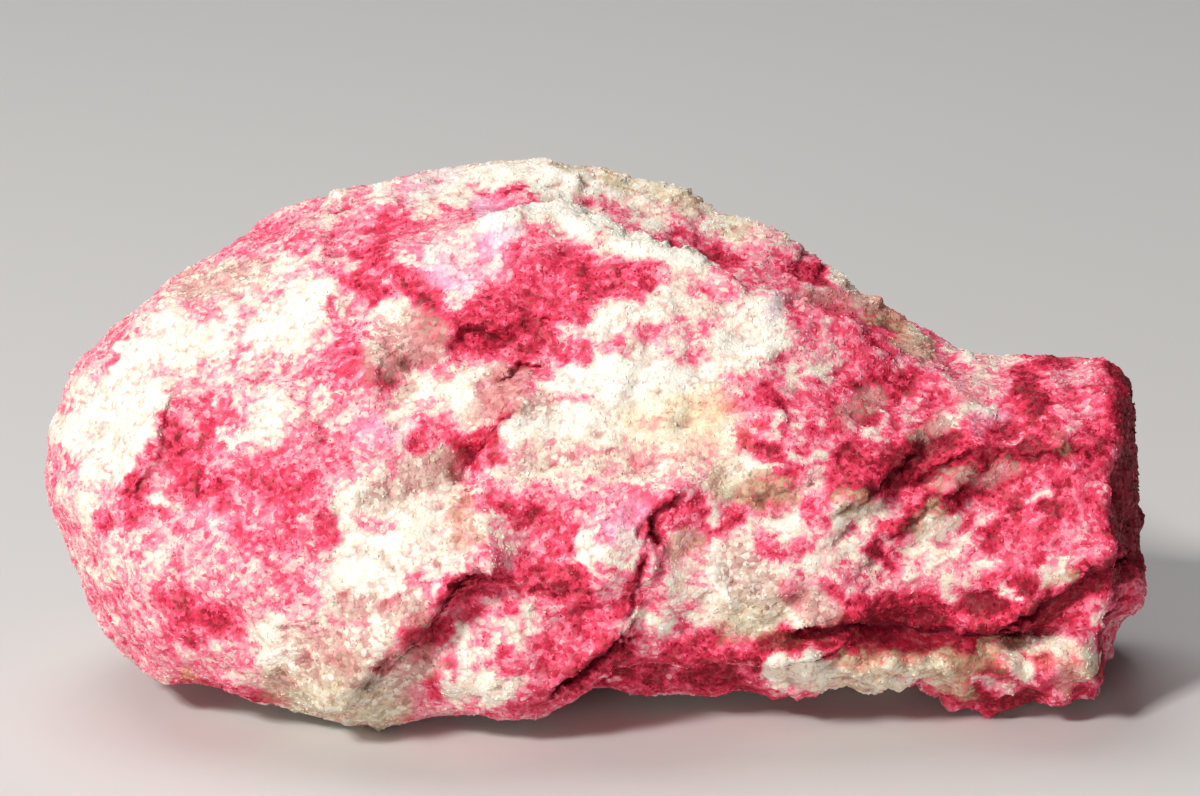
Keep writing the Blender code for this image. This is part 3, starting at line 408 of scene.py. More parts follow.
RIGHT_PATCHES = (
    (P, 5.5, (13.0, 4.0, 14.0, -2.0)), (P, 2.4, (11.0, 1.0, 12.6, 0.6), 0.7),
    (P, 5.0, (23.5, -4.0, 25.0, -5.0)), (B, 0.9, (8.4, 11.2, 11.0, 10.6)),
    (P, 0.7, (10.0, 10.0, 12.4, 10.0)), (R, 0.7, (6.6, 10.1, 8.0, 9.4, 10.0, 9.2, 12.4, 8.8)),
    (C, 0.6, (13.0, 9.2, 14.0, 8.4)), (C, 0.35, (8.4, 9.0, 10.4, 8.5, 12.6, 8.1), 0.8),
    (B, 0.8, (14.8, 7.8, 16.6, 6.4, 17.8, 5.2)), (L, 0.9, (14.8, 7.7, 16.6, 6.6), 0.8),
    (R, 0.5, (16.0, 7.8, 17.8, 6.7)), (P, 0.9, (10.8, 7.4, 15.0, 6.6), 0.8),
    (H, 0.4, (11.6, 6.9, 15.2, 6.6), 0.8), (Q, 0.8, (11.6, 7.9, 14.4, 7.4), 0.6),
    (R, 0.5, (15.2, 6.8, 16.6, 5.9)), (C, 1.5, (8.0, 7.2, 9.8, 6.2)),
    (W, 1.2, (8.4, 5.4, 9.8, 5.6)), (V, 0.7, (9.8, 6.8, 9.6, 7.3), 0.7),
    (P, 1.0, (11.2, 6.8, 11.8, 5.4)), (B, 0.5, (12.4, 5.8, 12.8, 6.2)), (O, 0.5, (12.4, 5.6), 0.5),
    (B, 0.8, (11.6, 4.2, 13.4, 4.6)), (P, 1.0, (14.2, 5.6, 15.6, 4.6)),
    (H, 0.5, (15.0, 5.4, 16.0, 4.4)), (P, 1.2, (8.6, 3.4, 10.2, 2.6)),
    (H, 0.6, (9.7, 2.4, 9.6, 1.2)), (C, 0.5, (10.6, 3.4, 10.4, 2.9)),
    (C, 0.5, (12.6, 3.6, 12.8, 3.4)), (C, 0.7, (10.2, 1.2, 10.4, 0.4)),
    (C, 0.5, (12.0, 0.4, 12.4, 1.0)), (P, 0.6, (11.6, 0.6, 11.8, 1.4)),
    (R, 0.6, (15.0, 3.5, 15.4, 3.8)), (H, 0.8, (15.6, 2.8, 17.8, 3.2)),
    (L, 0.7, (16.8, 5.3, 17.8, 4.8), 0.9), (C, 0.4, (17.0, 5.9, 17.4, 5.5)),
    (P, 0.8, (18.2, 2.2, 18.8, 3.6)), (R, 0.6, (13.2, 1.9, 14.0, 2.6)),
    (B, 0.7, (13.8, 1.2, 15.0, 2.0)), (Q, 0.8, (13.6, 1.2, 15.2, 2.4), 0.7),
    (C, 0.7, (15.2, 0.2, 15.8, 1.0)), (P, 0.6, (16.3, 0.3, 16.7, 1.3)),
    (C, 0.6, (17.2, 1.4, 17.7, 1.8)), (D, 0.35, (17.7, 0.8, 18.3, 1.0)),
    (B, 0.7, (17.8, 0.2, 19.0, 0.4)), (Q, 0.7, (18.0, 0.2, 19.0, 0.8), 0.8),
    (B, 1.5, (19.8, 3.6, 21.6, 3.0)), (C, 0.6, (19.2, 4.8, 21.4, 4.9)),
    (C, 0.7, (21.0, 3.4, 22.4, 4.2)), (Q, 0.8, (20.0, 2.6, 20.6, 1.8), 0.5),
    (W, 0.5, (20.8, 1.4, 21.6, 1.7)), (V, 0.8, (21.0, 1.0, 22.2, 1.4), 0.5),
    (R, 0.9, (23.4, 3.0, 23.8, 1.8)), (B, 0.5, (21.6, 0.8, 19.4, 0.6), 0.7),
    (R, 0.6, (24.6, 4.3, 25.6, 4.4)), (P, 1.8, (26.4, 3.4, 27.0, 2.2)),
    (B, 0.8, (25.8, 3.2, 26.6, 3.8)), (B, 0.8, (25.2, 1.0, 26.8, 1.3)),
    (R, 0.5, (28.5, 3.8, 28.4, 1.6)), (H, 0.7, (20.0, 0.4, 22.8, 1.0)),
    (R, 0.5, (20.4, 0.3, 21.0, 0.5)), (D, 0.8, (14.9, -2.8, 16.6, -1.4, 17.8, -0.4)),
    (D, 0.6, (15.4, -2.4, 17.8, -2.2, 20.2, -1.6)), (R, 0.6, (18.2, -0.9, 20.2, -0.1)),
    (H, 0.5, (18.4, -1.6, 19.8, -0.9)), (D, 0.7, (17.2, -4.8, 18.6, -3.8, 20.4, -3.0, 21.2, -1.0)),
    (P, 0.5, (16.6, -3.4, 19.2, -2.6)), (Q, 0.6, (18.8, -2.6, 20.0, -1.9), 0.8),
    (R, 0.7, (22.6, -0.8, 26.2, -0.6)), (D, 0.5, (22.6, -1.0, 25.6, -1.1)),
    (L, 0.5, (25.4, 0.2, 25.8, -0.8), 0.4), (C, 0.35, (22.2, -0.9, 22.9, 0.1)),
    (R, 0.6, (26.4, -1.2, 27.6, -0.6)), (P, 1.1, (21.4, -2.8, 25.2, -2.4)),
    (Q, 0.5, (20.6, -2.4, 22.8, -1.7), 0.8), (B, 0.3, (20.8, -2.7, 22.4, -2.1), 0.8),
    (P, 1.6, (24.0, -2.8, 27.6, -3.0)), (C, 0.5, (23.9, -3.1, 24.4, -3.2)),
    (R, 0.6, (24.6, -3.8, 25.6, -4.6)), (R, 0.4, (22.8, -4.2, 23.0, -3.8)),
    (B, 0.6, (26.8, -4.4, 26.2, -5.6), 0.7), (P, 0.9, (26.2, -1.9, 28.2, -2.0)),
    (H, 0.5, (27.6, -3.4, 28.2, -5.4)), (R, 0.7, (28.6, -2.4, 29.0, -6.0)),
    (P, 1.8, (21.4, -5.0, 22.4, -7.0)), (R, 0.4, (21.4, -5.4, 21.6, -5.0)),
    (P, 0.8, (22.6, -6.8, 23.4, -7.4)), (H, 0.8, (20.8, -8.4, 22.2, -7.8)),
    (C, 1.3, (17.8, -6.2, 19.4, -5.2)), (C, 0.7, (19.4, -4.6, 18.4, -5.2)),
    (R, 0.45, (17.8, -4.1, 19.8, -3.4)), (L, 0.6, (17.6, -4.9, 18.6, -4.1), 0.8),
    (W, 1.0, (14.2, -5.4, 14.4, -4.6)), (C, 0.7, (13.6, -4.4, 15.8, -3.9)),
    (R, 0.6, (15.3, -5.6, 16.2, -4.8)), (C, 0.5, (13.2, -4.8, 14.6, -4.6)),
    (B, 0.8, (14.0, -6.8, 16.4, -6.2), 0.9), (P, 0.6, (16.2, -6.2, 17.0, -5.4)),
    (C, 1.3, (9.0, -5.9, 12.6, -5.9), 0.9), (P, 0.5, (10.2, -4.6, 12.8, -5.0), 0.8),
    (H, 0.6, (11.7, -4.2, 12.0, -4.4)), (H, 0.5, (12.6, -4.7, 12.8, -4.6)),
    (H, 0.5, (9.5, -5.4, 9.7, -5.1)), (P, 0.5, (10.4, -6.0, 11.6, -6.1)),
    (C, 0.9, (8.2, -1.6, 8.8, -1.4)), (C, 0.5, (11.0, -1.2, 12.2, -1.0)),
    (P, 0.9, (11.4, -2.2, 15.0, -2.6)), (H, 0.45, (12.4, -1.9, 14.6, -1.5)),
    (R, 0.5, (9.4, -0.5, 9.8, -1.2)), (R, 0.4, (10.4, -2.4, 10.8, -2.1)),
    (R, 0.6, (13.2, -1.1, 13.9, -0.8)), (B, 0.7, (10.6, -3.5, 13.0, -3.4), 0.8),
    (C, 0.35, (11.6, -2.6, 12.6, -2.3), 0.8), (C, 0.35, (13.4, -3.1, 14.2, -2.8), 0.8),
    (R, 0.3, (11.8, -3.0, 13.4, -2.4), 0.8), (L, 0.7, (8.0, -3.0, 10.8, -3.2)),
    (D, 0.35, (8.8, -3.1, 9.8, -3.2)), (L, 0.6, (13.8, -3.6, 14.6, -3.5), 0.9),
    (C, 1.1, (11.4, -7.0, 12.2, -8.0)), (P, 0.6, (10.6, -6.9, 11.0, -7.6)),
    (P, 0.6, (10.5, -8.2, 11.2, -8.6)), (P, 1.0, (12.6, -8.2, 13.6, -8.4)),
    (R, 0.4, (13.0, -8.6, 13.3, -8.5)), (B, 1.0, (14.6, -7.5, 18.6, -7.3), 0.8),
    (C, 0.6, (15.6, -7.9, 17.4, -7.8)), (P, 0.7, (13.6, -7.4, 15.0, -7.3)),
    (P, 0.4, (15.8, -7.0, 18.2, -6.7), 0.9), (W, 0.6, (19.4, -8.0, 19.0, -8.8)),
    (P, 0.5, (20.1, -7.2, 20.3, -7.5)), (C, 0.6, (21.0, -7.0, 21.8, -6.9)),
    (C, 0.9, (24.6, -7.4, 25.8, -6.8)), (P, 0.7, (26.4, -5.8, 27.6, -6.2)),
    (L, 0.35, (24.8, -8.1, 26.0, -7.6), 0.8), (C, 0.5, (22.3, -8.5, 22.7, -8.9)),
    # Painted shadow: the D rows in the next lines darken the band under the long ledge over the
    # right foot and under the ledge that climbs to the end.
    (D, 0.9, (12.6, -10.5, 14.4, -10.1, 16.4, -10.0, 18.4, -10.3)),
    (R, 0.5, (14.0, -8.9, 16.4, -8.9, 18.6, -9.1)), (R, 0.6, (19.6, -9.5, 23.0, -9.6)),
    (H, 0.4, (22.2, -9.9, 23.2, -10.0)), (D, 0.7, (23.8, -9.8, 26.4, -8.6, 28.8, -7.4)),
    (P, 0.5, (25.8, -9.9, 28.2, -9.1, 29.4, -8.0)), (P, 0.7, (26.6, -10.2, 28.2, -9.8)),
    (V, 0.5, (27.8, -9.9, 28.4, -9.6), 0.5),
    (D, 0.55, (11.6, -10.8, 14.0, -10.9, 18.0, -10.9, 23.8, -10.7)),
    (C, 1.4, (8.4, -8.4, 10.8, -9.2), 0.9), (P, 0.5, (11.6, -9.4, 13.0, -9.3), 0.8),
    (P, 0.4, (10.6, -8.2, 11.8, -8.8), 0.8), (L, 1.0, (8.0, -9.4, 9.8, -9.2), 0.6),
    (C, 0.7, (8.0, -10.0, 10.6, -10.2)), (O, 1.6, (8.2, -9.0, 11.0, -9.6), 0.3),
    (B, 0.8, (11.4, -8.8, 12.6, -9.6)), (Q, 0.9, (11.4, -8.8, 12.6, -9.6), 0.8),
    (R, 0.6, (10.2, -11.2, 12.6, -10.7)), (P, 0.7, (8.9, -12.9, 9.2, -13.4)),
    (C, 1.2, (10.0, -12.6, 12.2, -12.9)), (C, 0.9, (13.2, -12.6, 17.6, -12.8, 20.4, -12.8)),
    (C, 0.7, (12.8, -13.7, 15.4, -13.8)), (L, 0.7, (13.0, -12.4, 20.8, -12.4), 0.8),
    (D, 0.35, (13.6, -11.5, 16.4, -11.6, 20.0, -11.3), 0.8),
    (C, 0.7, (10.2, -13.2, 13.6, -13.6, 17.6, -13.3)), (L, 0.7, (14.0, -13.8, 15.6, -13.8), 0.5),
    (C, 0.6, (9.4, -12.3, 12.6, -12.8)), (C, 0.45, (14.6, -12.1)), (C, 0.4, (17.4, -13.0)),
    (C, 0.5, (20.2, -12.6)), (R, 0.6, (18.4, -11.2, 20.2, -11.5)),
    (B, 0.6, (21.0, -11.5, 23.2, -11.5)), (L, 0.6, (21.0, -11.5, 23.4, -11.5), 0.8),
    (H, 0.8, (21.4, -12.6, 22.0, -13.2)), (C, 0.7, (22.8, -12.4, 23.3, -12.7)),
    (R, 0.5, (23.8, -11.9, 25.0, -12.0)), (C, 0.6, (23.8, -11.4, 24.8, -11.2)),
    (P, 0.6, (24.2, -13.1, 25.4, -13.1)), (C, 1.0, (25.6, -11.9, 26.6, -12.2)),
    (L, 0.8, (25.6, -13.2, 26.6, -13.0), 0.7), (R, 0.6, (27.8, -10.8, 28.0, -12.8)),
    (L, 0.8, (18.8, -13.4, 20.2, -14.2), 0.9), (D, 0.8, (20.6, -14.2, 23.4, -14.3)),
    (P, 0.7, (15.2, 4.2, 17.4, 4.2)), (B, 0.6, (18.2, 4.5, 19.0, 4.5)),
    (W, 0.6, (19.4, 0.9, 21.6, 1.3), 0.9), (P, 0.6, (10.2, 3.0, 10.4, 0.8), 0.8),
    (P, 0.5, (14.8, 2.6, 15.4, 2.2)), (P, 0.4, (16.5, 1.3, 16.7, 0.8)),
    (H, 0.5, (24.8, 0.6, 25.2, -0.2)), (P, 0.5, (24.6, -1.4, 23.6, -2.8)),
    (H, 0.6, (12.4, -3.3, 14.6, -2.8)), (R, 0.5, (18.2, -2.0, 20.4, -1.6)),
    (R, 0.4, (17.8, -4.3, 18.8, -4.0)), (P, 0.5, (11.2, -5.9, 12.0, -5.7)),
    (P, 0.5, (20.2, -5.4, 20.6, -4.6)), (P, 0.4, (26.2, -6.9, 26.8, -6.6)),
    (P, 0.6, (27.4, -3.2, 27.2, -4.0)), (P, 0.7, (28.0, 2.8, 28.0, 2.0)),
    (W, 0.6, (13.2, -4.7, 14.2, -4.7)), (W, 0.6, (14.4, -6.8, 15.8, -6.7), 0.9),
    (W, 0.8, (17.4, -6.2, 18.9, -6.2)), (C, 0.5, (19.0, -8.2, 20.2, -7.6)),
    (C, 0.5, (24.8, -7.7, 25.4, -7.5)), (R, 0.6, (12.6, -11.0, 14.4, -11.3, 16.2, -11.1), 0.9),
    (R, 0.6, (18.0, -11.4, 19.6, -11.7, 20.6, -11.3)), (W, 0.8, (10.4, -12.5, 12.2, -12.7)),
    (W, 0.6, (13.2, -13.6, 15.0, -13.7)), (C, 0.5, (16.9, -13.2, 18.0, -13.1)),
    (C, 0.6, (20.8, -12.9, 21.6, -12.9)), (C, 0.5, (23.6, -11.3, 24.6, -11.3)),
    (C, 0.5, (27.2, -9.9, 27.8, -10.2)), (O, 1.2, (10.4, -12.6, 17.6, -12.8, 26.0, -12.0), 0.45),
    (P, 1.0, (6.6, 8.0, 8.4, 8.7, 10.6, 8.6)), (B, 0.4, (7.2, 10.2, 9.4, 9.9), 0.8),
    (W, 0.5, (6.2, 5.2, 7.0, 5.2)), (W, 0.5, (7.6, 4.1, 8.2, 3.9)),
    (H, 0.7, (10.6, 0.6, 11.2, -0.4)), (R, 0.6, (8.4, -0.4, 9.4, -1.1)),
    (P, 0.6, (8.4, -2.6, 9.8, -3.0), 0.8), (W, 0.5, (9.6, -4.6, 10.8, -4.5)),
    (H, 0.6, (9.0, -6.1, 9.9, -6.4)), (P, 0.5, (13.4, 2.2, 14.2, 1.6)),
    (R, 0.5, (17.6, -2.0, 19.2, -1.7, 20.6, -1.7)), (R, 0.45, (17.4, -4.4, 18.6, -4.1)),
    (H, 0.45, (14.8, -6.0, 15.6, -5.8)), (P, 0.4, (26.4, -2.6, 27.2, -2.8)),
    (P, 0.8, (19.8, -4.4, 20.8, -4.6)), (B, 0.7, (25.4, -5.2, 26.6, -5.6), 0.8),
    (B, 0.5, (14.4, -7.4, 15.4, -8.0)), (B, 0.5, (16.6, 4.0, 18.6, 4.2)),
    (B, 0.45, (22.4, 1.4, 23.0, 1.0)),
    # Painted shadow under the long ledge over the right foot.
    (D, 0.55, (12.2, -10.9, 16.0, -11.2, 20.6, -11.1, 23.2, -10.8)),
    # The D row in the next line is painted shade on the broken end.
    (R, 0.6, (8.6, -12.6, 9.2, -11.8)), (D, 1.1, (29.3, 2.8, 29.5, -2.0, 29.4, -6.4)),
    (R, 0.5, (9.2, 2.3, 10.0, 1.8)), (B, 0.6, (10.7, 1.1, 11.3, 0.4)),
    (R, 0.5, (12.8, 2.0, 13.2, 0.8)), (R, 0.4, (14.6, 2.0, 15.0, 1.0)),
    (P, 0.5, (16.5, 1.8, 18.9, 1.5), 0.8), (B, 0.55, (18.6, 4.3, 19.6, 4.1)),
    (B, 0.4, (22.2, 3.6, 22.6, 3.1)), (R, 0.6, (8.2, -3.0, 9.8, -2.9)),
    (R, 0.5, (12.0, -3.6, 12.4, -2.7)), (R, 0.5, (19.0, -1.7, 20.4, -1.3)),
    (R, 0.4, (22.0, -1.2, 22.8, -1.1)), (R, 0.4, (17.8, -4.2, 18.6, -3.9)),
    (W, 0.7, (19.2, -4.3, 19.8, -5.1)), (C, 0.9, (19.0, -4.8, 20.6, -4.6)),
    (R, 0.5, (15.0, -6.2, 16.0, -6.6)), (P, 0.45, (18.5, -5.5, 19.1, -5.8)),
    (B, 0.5, (13.4, -7.6, 13.8, -8.3)), (P, 0.5, (16.4, -8.1, 17.4, -8.3)),
    (P, 0.5, (19.8, -7.9, 20.6, -8.1)), (C, 0.5, (24.8, -7.7, 25.5, -7.9)),
    (P, 0.5, (10.5, -8.6, 11.1, -9.0)), (R, 0.6, (13.4, -11.3, 14.6, -12.2)),
    (R, 0.6, (18.6, -11.4, 19.8, -12.2)), (R, 0.4, (16.6, -11.8, 17.3, -12.1)),
    (R, 0.4, (21.0, -11.9, 21.6, -12.1)), (W, 1.0, (10.2, -12.2, 11.6, -12.4)),
    (C, 0.6, (13.0, -13.6, 13.8, -13.8)), (C, 0.6, (17.2, -13.0, 18.0, -13.0)),
    (C, 0.5, (21.8, -13.7, 22.6, -13.9)), (P, 0.5, (8.0, -12.4, 8.4, -13.2)),
    (R, 0.7, (-12.4, 8.3, -11.9, 7.9)), (P, 0.6, (-10.9, 10.6, -9.8, 10.3)),
    (L, 0.9, (-17.6, -13.4, -15.4, -13.2, -13.4, -12.6), 0.8),
    # The W row in the next line is painted light on a shaded face at the lower left.
    (W, 0.6, (-12.4, -13.4, -11.5, -13.8)), (B, 0.4, (-20.6, 0.2, -20.0, -0.3)),
    (P, 0.4, (-24.1, -0.2, -23.9, -1.0)), (P, 0.5, (-19.0, -6.4, -18.4, -7.2)),
    (R, 0.45, (-22.7, -10.2, -22.2, -11.0)), (P, 0.5, (-12.8, -4.4, -11.6, -4.8), 0.8),
    (P, 0.4, (-14.8, -2.8, -14.3, -3.3)), (B, 0.5, (-10.4, 0.7, -10.8, -0.8)),
    (R, 0.45, (-5.1, 13.5, -4.1, 13.7)), (P, 0.5, (-6.3, -8.9, -4.8, -8.9)),
    (P, 0.45, (-2.9, -3.2, -2.2, -3.9)), (P, 0.4, (-5.6, -3.0, -5.1, -3.2)),
    # The W row in the next line is painted light on the shaded face below the tongue's edge.
    (W, 0.6, (2.0, -10.4, 3.0, -10.2, 3.8, -9.8)), (P, 0.5, (1.6, -11.0, 2.8, -11.2)),
    (B, 0.4, (3.2, -2.5, 4.0, -2.9)), (B, 0.5, (6.0, -0.5, 6.3, -2.4)),
    (B, 0.6, (5.4, 8.5, 6.8, 8.2)), (B, 0.5, (4.7, 6.3, 5.2, 5.2)),
    # The D row in the next line is painted shadow where the long ledge starts.
    (P, 0.4, (7.2, -11.2, 8.0, -11.3)), (D, 0.5, (8.7, -11.8, 9.5, -11.3, 10.6, -10.9)),
    (W, 0.9, (9.8, -12.6, 12.2, -12.7), 0.9), (R, 0.4, (11.7, 0.7, 12.1, 0.3)),
    (B, 0.55, (12.1, -2.2, 12.6, -3.1)), (R, 0.5, (18.2, -3.9, 19.2, -3.6)),
    (C, 0.6, (18.4, -5.2, 19.3, -5.6)), (B, 0.5, (16.5, -8.1, 17.3, -8.2)),
    (B, 0.5, (19.7, -7.8, 20.4, -8.1)), (D, 0.5, (21.2, -12.6, 22.0, -12.9)),
    (R, 0.45, (19.2, -11.5, 19.6, -12.4)), (R, 0.4, (13.8, -11.5, 14.2, -12.0)),
    (P, 0.4, (-1.0, 13.0, 0.4, 12.9, 1.4, 12.4), 0.8), (P, 0.45, (-5.4, 12.9, -3.0, 13.0)),
    (P, 0.5, (-17.4, 12.2, -14.8, 12.9, -12.4, 13.2), 0.8),
    (P, 0.45, (-14.6, -10.0, -12.8, -10.4), 0.8), (P, 0.4, (-4.8, 2.9, -4.4, 1.9), 0.8),
    # The D row in the next line is painted shadow where the long ledge starts.
    (P, 0.4, (-3.0, 3.8, -2.5, 3.4), 0.8), (D, 0.45, (8.7, -12.0, 9.6, -11.5, 10.8, -11.1)),
    (B, 0.5, (1.8, -10.3, 2.8, -10.6)), (P, 0.45, (1.2, -9.4, 1.6, -9.8)),
    (R, 0.35, (-24.0, -0.2, -23.8, -1.0)), (P, 0.4, (-19.8, 0.5, -19.4, -0.3)),
    (R, 0.4, (-18.8, -6.3, -18.4, -7.0)), (R, 0.5, (-14.0, -12.3, -13.4, -12.9), 0.6),
    (R, 0.5, (-17.4, -13.4, -16.6, -13.6), 0.6), (P, 0.5, (-20.0, -12.2, -19.2, -12.6)),
    (P, 0.4, (-16.2, -9.2, -15.6, -9.6), 0.8), (B, 0.4, (3.4, -9.9, 4.4, -9.8, 5.4, -9.4)),
    (B, 0.5, (-1.2, -4.2, -0.6, -4.8)), (B, 0.5, (5.9, -0.2, 6.2, -3.2)),
    (B, 0.4, (8.4, 8.1, 8.8, 7.9)), (P, 0.5, (2.0, -11.0, 2.8, -11.6)),
    (R, 0.7, (-5.7, 2.4, -4.8, 1.2), 0.5), (R, 0.5, (-4.9, 3.4, -3.9, 3.0), 0.6),
    (P, 0.4, (-0.9, 2.2, -0.3, 2.1)), (P, 0.5, (-6.6, -6.6, -5.8, -7.0)),
    (R, 0.3, (1.0, -9.1, 1.4, -9.6)), (P, 0.35, (3.2, -9.1, 3.6, -9.4)),
    (D, 0.45, (8.1, -12.1, 8.8, -12.4)), (R, 0.5, (8.8, -2.9, 9.7, -3.2)),
    (P, 0.4, (13.4, 2.4, 13.9, 2.0)), (P, 0.4, (14.9, 2.5, 15.3, 2.1)),
    (P, 0.45, (20.2, 0.9, 20.8, 0.4)), (R, 0.45, (18.4, -1.9, 19.2, -1.7)),
    (R, 0.4, (14.2, -3.1, 14.9, -2.8)), (R, 0.4, (17.8, -4.1, 18.4, -3.8)),
    (P, 0.4, (20.0, -4.8, 20.8, -4.4)), (R, 0.4, (26.1, -7.4, 26.8, -7.2)),
    (R, 0.5, (23.2, -8.3, 24.0, -7.9)), (D, 0.4, (13.1, -11.6, 13.5, -12.0)),
    (D, 0.4, (15.3, -11.7, 15.6, -12.3)), (R, 0.4, (19.7, -12.9, 20.3, -13.1)),
    (B, 0.5, (15.6, -5.6, 16.2, -6.3)), (P, 0.5, (27.3, -3.6, 27.7, -4.2)),
    (B, 0.4, (18.5, 4.3, 19.1, 4.1)), (B, 0.4, (16.9, 1.8, 17.3, 1.4)),
    (B, 0.4, (13.8, -4.9, 14.3, -5.2)), (B, 0.4, (16.3, -7.9, 17.0, -8.0)),
    (B, 0.4, (19.8, -7.8, 20.4, -8.0)), (B, 0.4, (21.6, -7.3, 22.4, -7.2)),
    (B, 0.5, (25.5, -12.3, 26.2, -12.5)),
)

PATCHES = [Patch(*fields) for fields in LEFT_PATCHES + MIDDLE_PATCHES + RIGHT_PATCHES]


# ---------------------------------------------------------------- the broken surface


@dataclass(frozen=True)
class Step:
    """A small broken step along a line on the front view, proud on the line's left."""

    line: tuple[Point, ...]
    height: float
    reach: float = 1.4
    proud_share: float = 0.5
    groove: float = 0.5


STEPS = (
    # The edge of the left mass over the tongue, and the arch that goes on from it.
    Step(((-12.6, -13.4), (-11.6, -12.6), (-10.3, -11.5), (-9.0, -10.4), (-8.3, -9.3),
          (-7.8, -8.2), (-7.0, -7.6), (-5.8, -7.5)), 1.0, 1.4, 0.6, 0.5),
    Step(((-5.8, -7.5), (-4.1, -8.0), (-2.0, -8.6), (0.2, -8.2)), 0.3, 1.2, 0.5, 0.0),
    # The tongue's right edge, the crack above it and the chipped edge above that.
    Step(((-2.2, -14.0), (-0.6, -12.7), (0.6, -11.7), (1.6, -11.1)), 0.9, 1.2, 0.6, 0.8),
    Step(((1.6, -9.7), (2.1, -8.4), (2.5, -7.0)), 0.3, 0.7, 0.5, 0.5),
    Step(((3.5, -6.0), (2.9, -5.3), (2.8, -4.5), (3.2, -3.8), (4.3, -3.2)), 0.5, 1.0, 0.4, 0.35),
    # The brow over its hollow, and the brown arch in the cream block.
    Step(((-12.0, 3.6), (-11.4, 4.6), (-10.2, 5.2)), 0.3, 1.0, 0.5, 0.0),
    Step(((-8.0, 5.2), (-7.2, 6.0), (-6.2, 6.1), (-5.2, 5.6)), 0.55, 0.8, 0.5, 0.1),
    Step(((-4.6, 6.3), (-3.2, 6.9), (-1.8, 6.4), (-0.4, 6.7)), 0.3, 0.8, 0.5, 0.0),
    Step(((-5.0, 3.4), (-4.2, 4.2), (-3.2, 4.1)), 0.5, 0.7, 0.5, 0.15),
    Step(((-4.4, 1.4), (-3.6, 1.8), (-2.8, 1.5)), 0.25, 0.7, 0.5, 0.0),
    # The cream block's left edge, and the cap's.
    Step(((-4.8, 1.1), (-5.4, 0.5), (-5.8, -0.3), (-6.7, -1.4), (-7.3, -2.2)), 0.8, 1.1, 0.5, 0.3),
    Step(((-7.0, -3.0), (-7.5, -4.2), (-7.3, -5.8)), 0.4, 0.8, 0.5, 0.2),
    Step(((-25.4, -3.2), (-24.3, -1.4), (-23.7, 0.2), (-23.2, 2.4)), 0.3, 1.3, 0.5, 0.0),
    # The slabs of the right half.
    Step(((13.2, -4.0), (14.6, -3.2), (16.0, -2.1), (17.4, -0.9)), 0.8, 1.0, 0.5, 0.5),
    Step(((15.4, -5.8), (16.8, -4.9), (18.2, -4.0), (20.0, -2.8), (21.2, -1.6)),
         0.6, 0.9, 0.5, 0.2),
    Step(((17.6, -2.1), (19.0, -1.4), (20.4, -0.7)), 0.4, 0.6, 0.5, 0.15),
    Step(((21.0, -1.0), (24.0, -0.9), (26.0, -0.6), (27.6, -0.2)), 0.3, 0.9, 0.5, 0.0),
    Step(((7.2, -3.5), (8.8, -3.2), (10.6, -3.0), (11.6, -2.5)), 0.35, 0.8, 0.5, 0.0),
    # The long ledge over the right foot, and the one that climbs to the end.
    Step(((11.4, -10.6), (14.0, -10.2), (16.2, -10.1), (18.4, -10.4), (20.8, -10.6),
          (24.0, -10.6)), 1.1, 1.2, 0.5, 0.7),
    Step(((22.9, -10.0), (24.4, -9.1), (25.6, -8.3), (27.0, -7.3), (28.8, -6.5)),
         1.0, 1.0, 0.5, 0.8),
    Step(((23.6, -11.2), (25.4, -10.8), (27.2, -10.1), (28.6, -9.6)), -0.5, 0.8, 0.5, 0.2),
)

# The edge of the white ridge, whose face leans towards the front below it.
RIDGE = (
    (7.2, 8.5), (6.3, 9.1), (4.6, 9.9), (2.8, 10.3), (0.7, 11.3), (-1.3, 12.1), (-3.5, 12.4),
    (-5.8, 11.8),
)

# The rounded lumps of the right foot: the middle of each, and its radius.
NODULES: tuple[tuple[Point, float], ...] = (
    ((9.8, -12.3), 1.0), ((11.3, -12.4), 1.15), ((13.7, -12.1), 0.85), ((14.5, -13.1), 0.75),
    ((16.0, -12.3), 1.0), ((17.5, -12.1), 0.8), ((18.7, -12.8), 0.95), ((20.4, -11.5), 0.7),
    ((21.8, -11.4), 0.75), ((22.6, -12.3), 0.7), ((24.0, -11.3), 0.8), ((25.2, -11.9), 0.75),
    ((26.3, -11.1), 0.85), ((26.4, -12.4), 0.8), ((12.6, -13.4), 0.6),
)

# The hollow right of the middle's cracks, which is filled to a gentle slope.
FILLED = ((5.0, -3.4), (4.3, -4.8), (3.9, -6.4), (3.8, -8.4), (3.4, -9.6), (2.9, -10.7))


# Where the three parts of a chip's lean are read, and how unlike the leans of neighbours are.
LEAN_SHIFTS = (Vector((9.3, -1.5, -7.9)), Vector((0.0, 0.0, 0.0)), Vector((6.3, 0.2, -2.7)))
LEAN_SPREAD = 7.31

# Between which x the broken end grows redder, between which u the right half does, and between
# which -u the left half grows paler. The broken end and the right half are partly their own redder
# colour and partly painted shade: the end lies in shade, and the light falls off to the right.
RED_SHADED_END = (26.5, 28.5)
RED_SHADED_RIGHT = (9.0, 17.0)
PALE_LEFT = (8.0, 14.0)

# The lowest and the highest tone that the rock may have.
TONE_RANGE = (-0.2, 1.1)

# How a patch fades out, on minus the distance from its line in its own widths: it is nothing at
# the first and whole at the second.
PATCH_EDGE = (-1.45, -0.35)

# Between which turns to the view, from -1 to 1, the front's own markings come in.
MARKED_FRONT = (-0.3, 0.02)


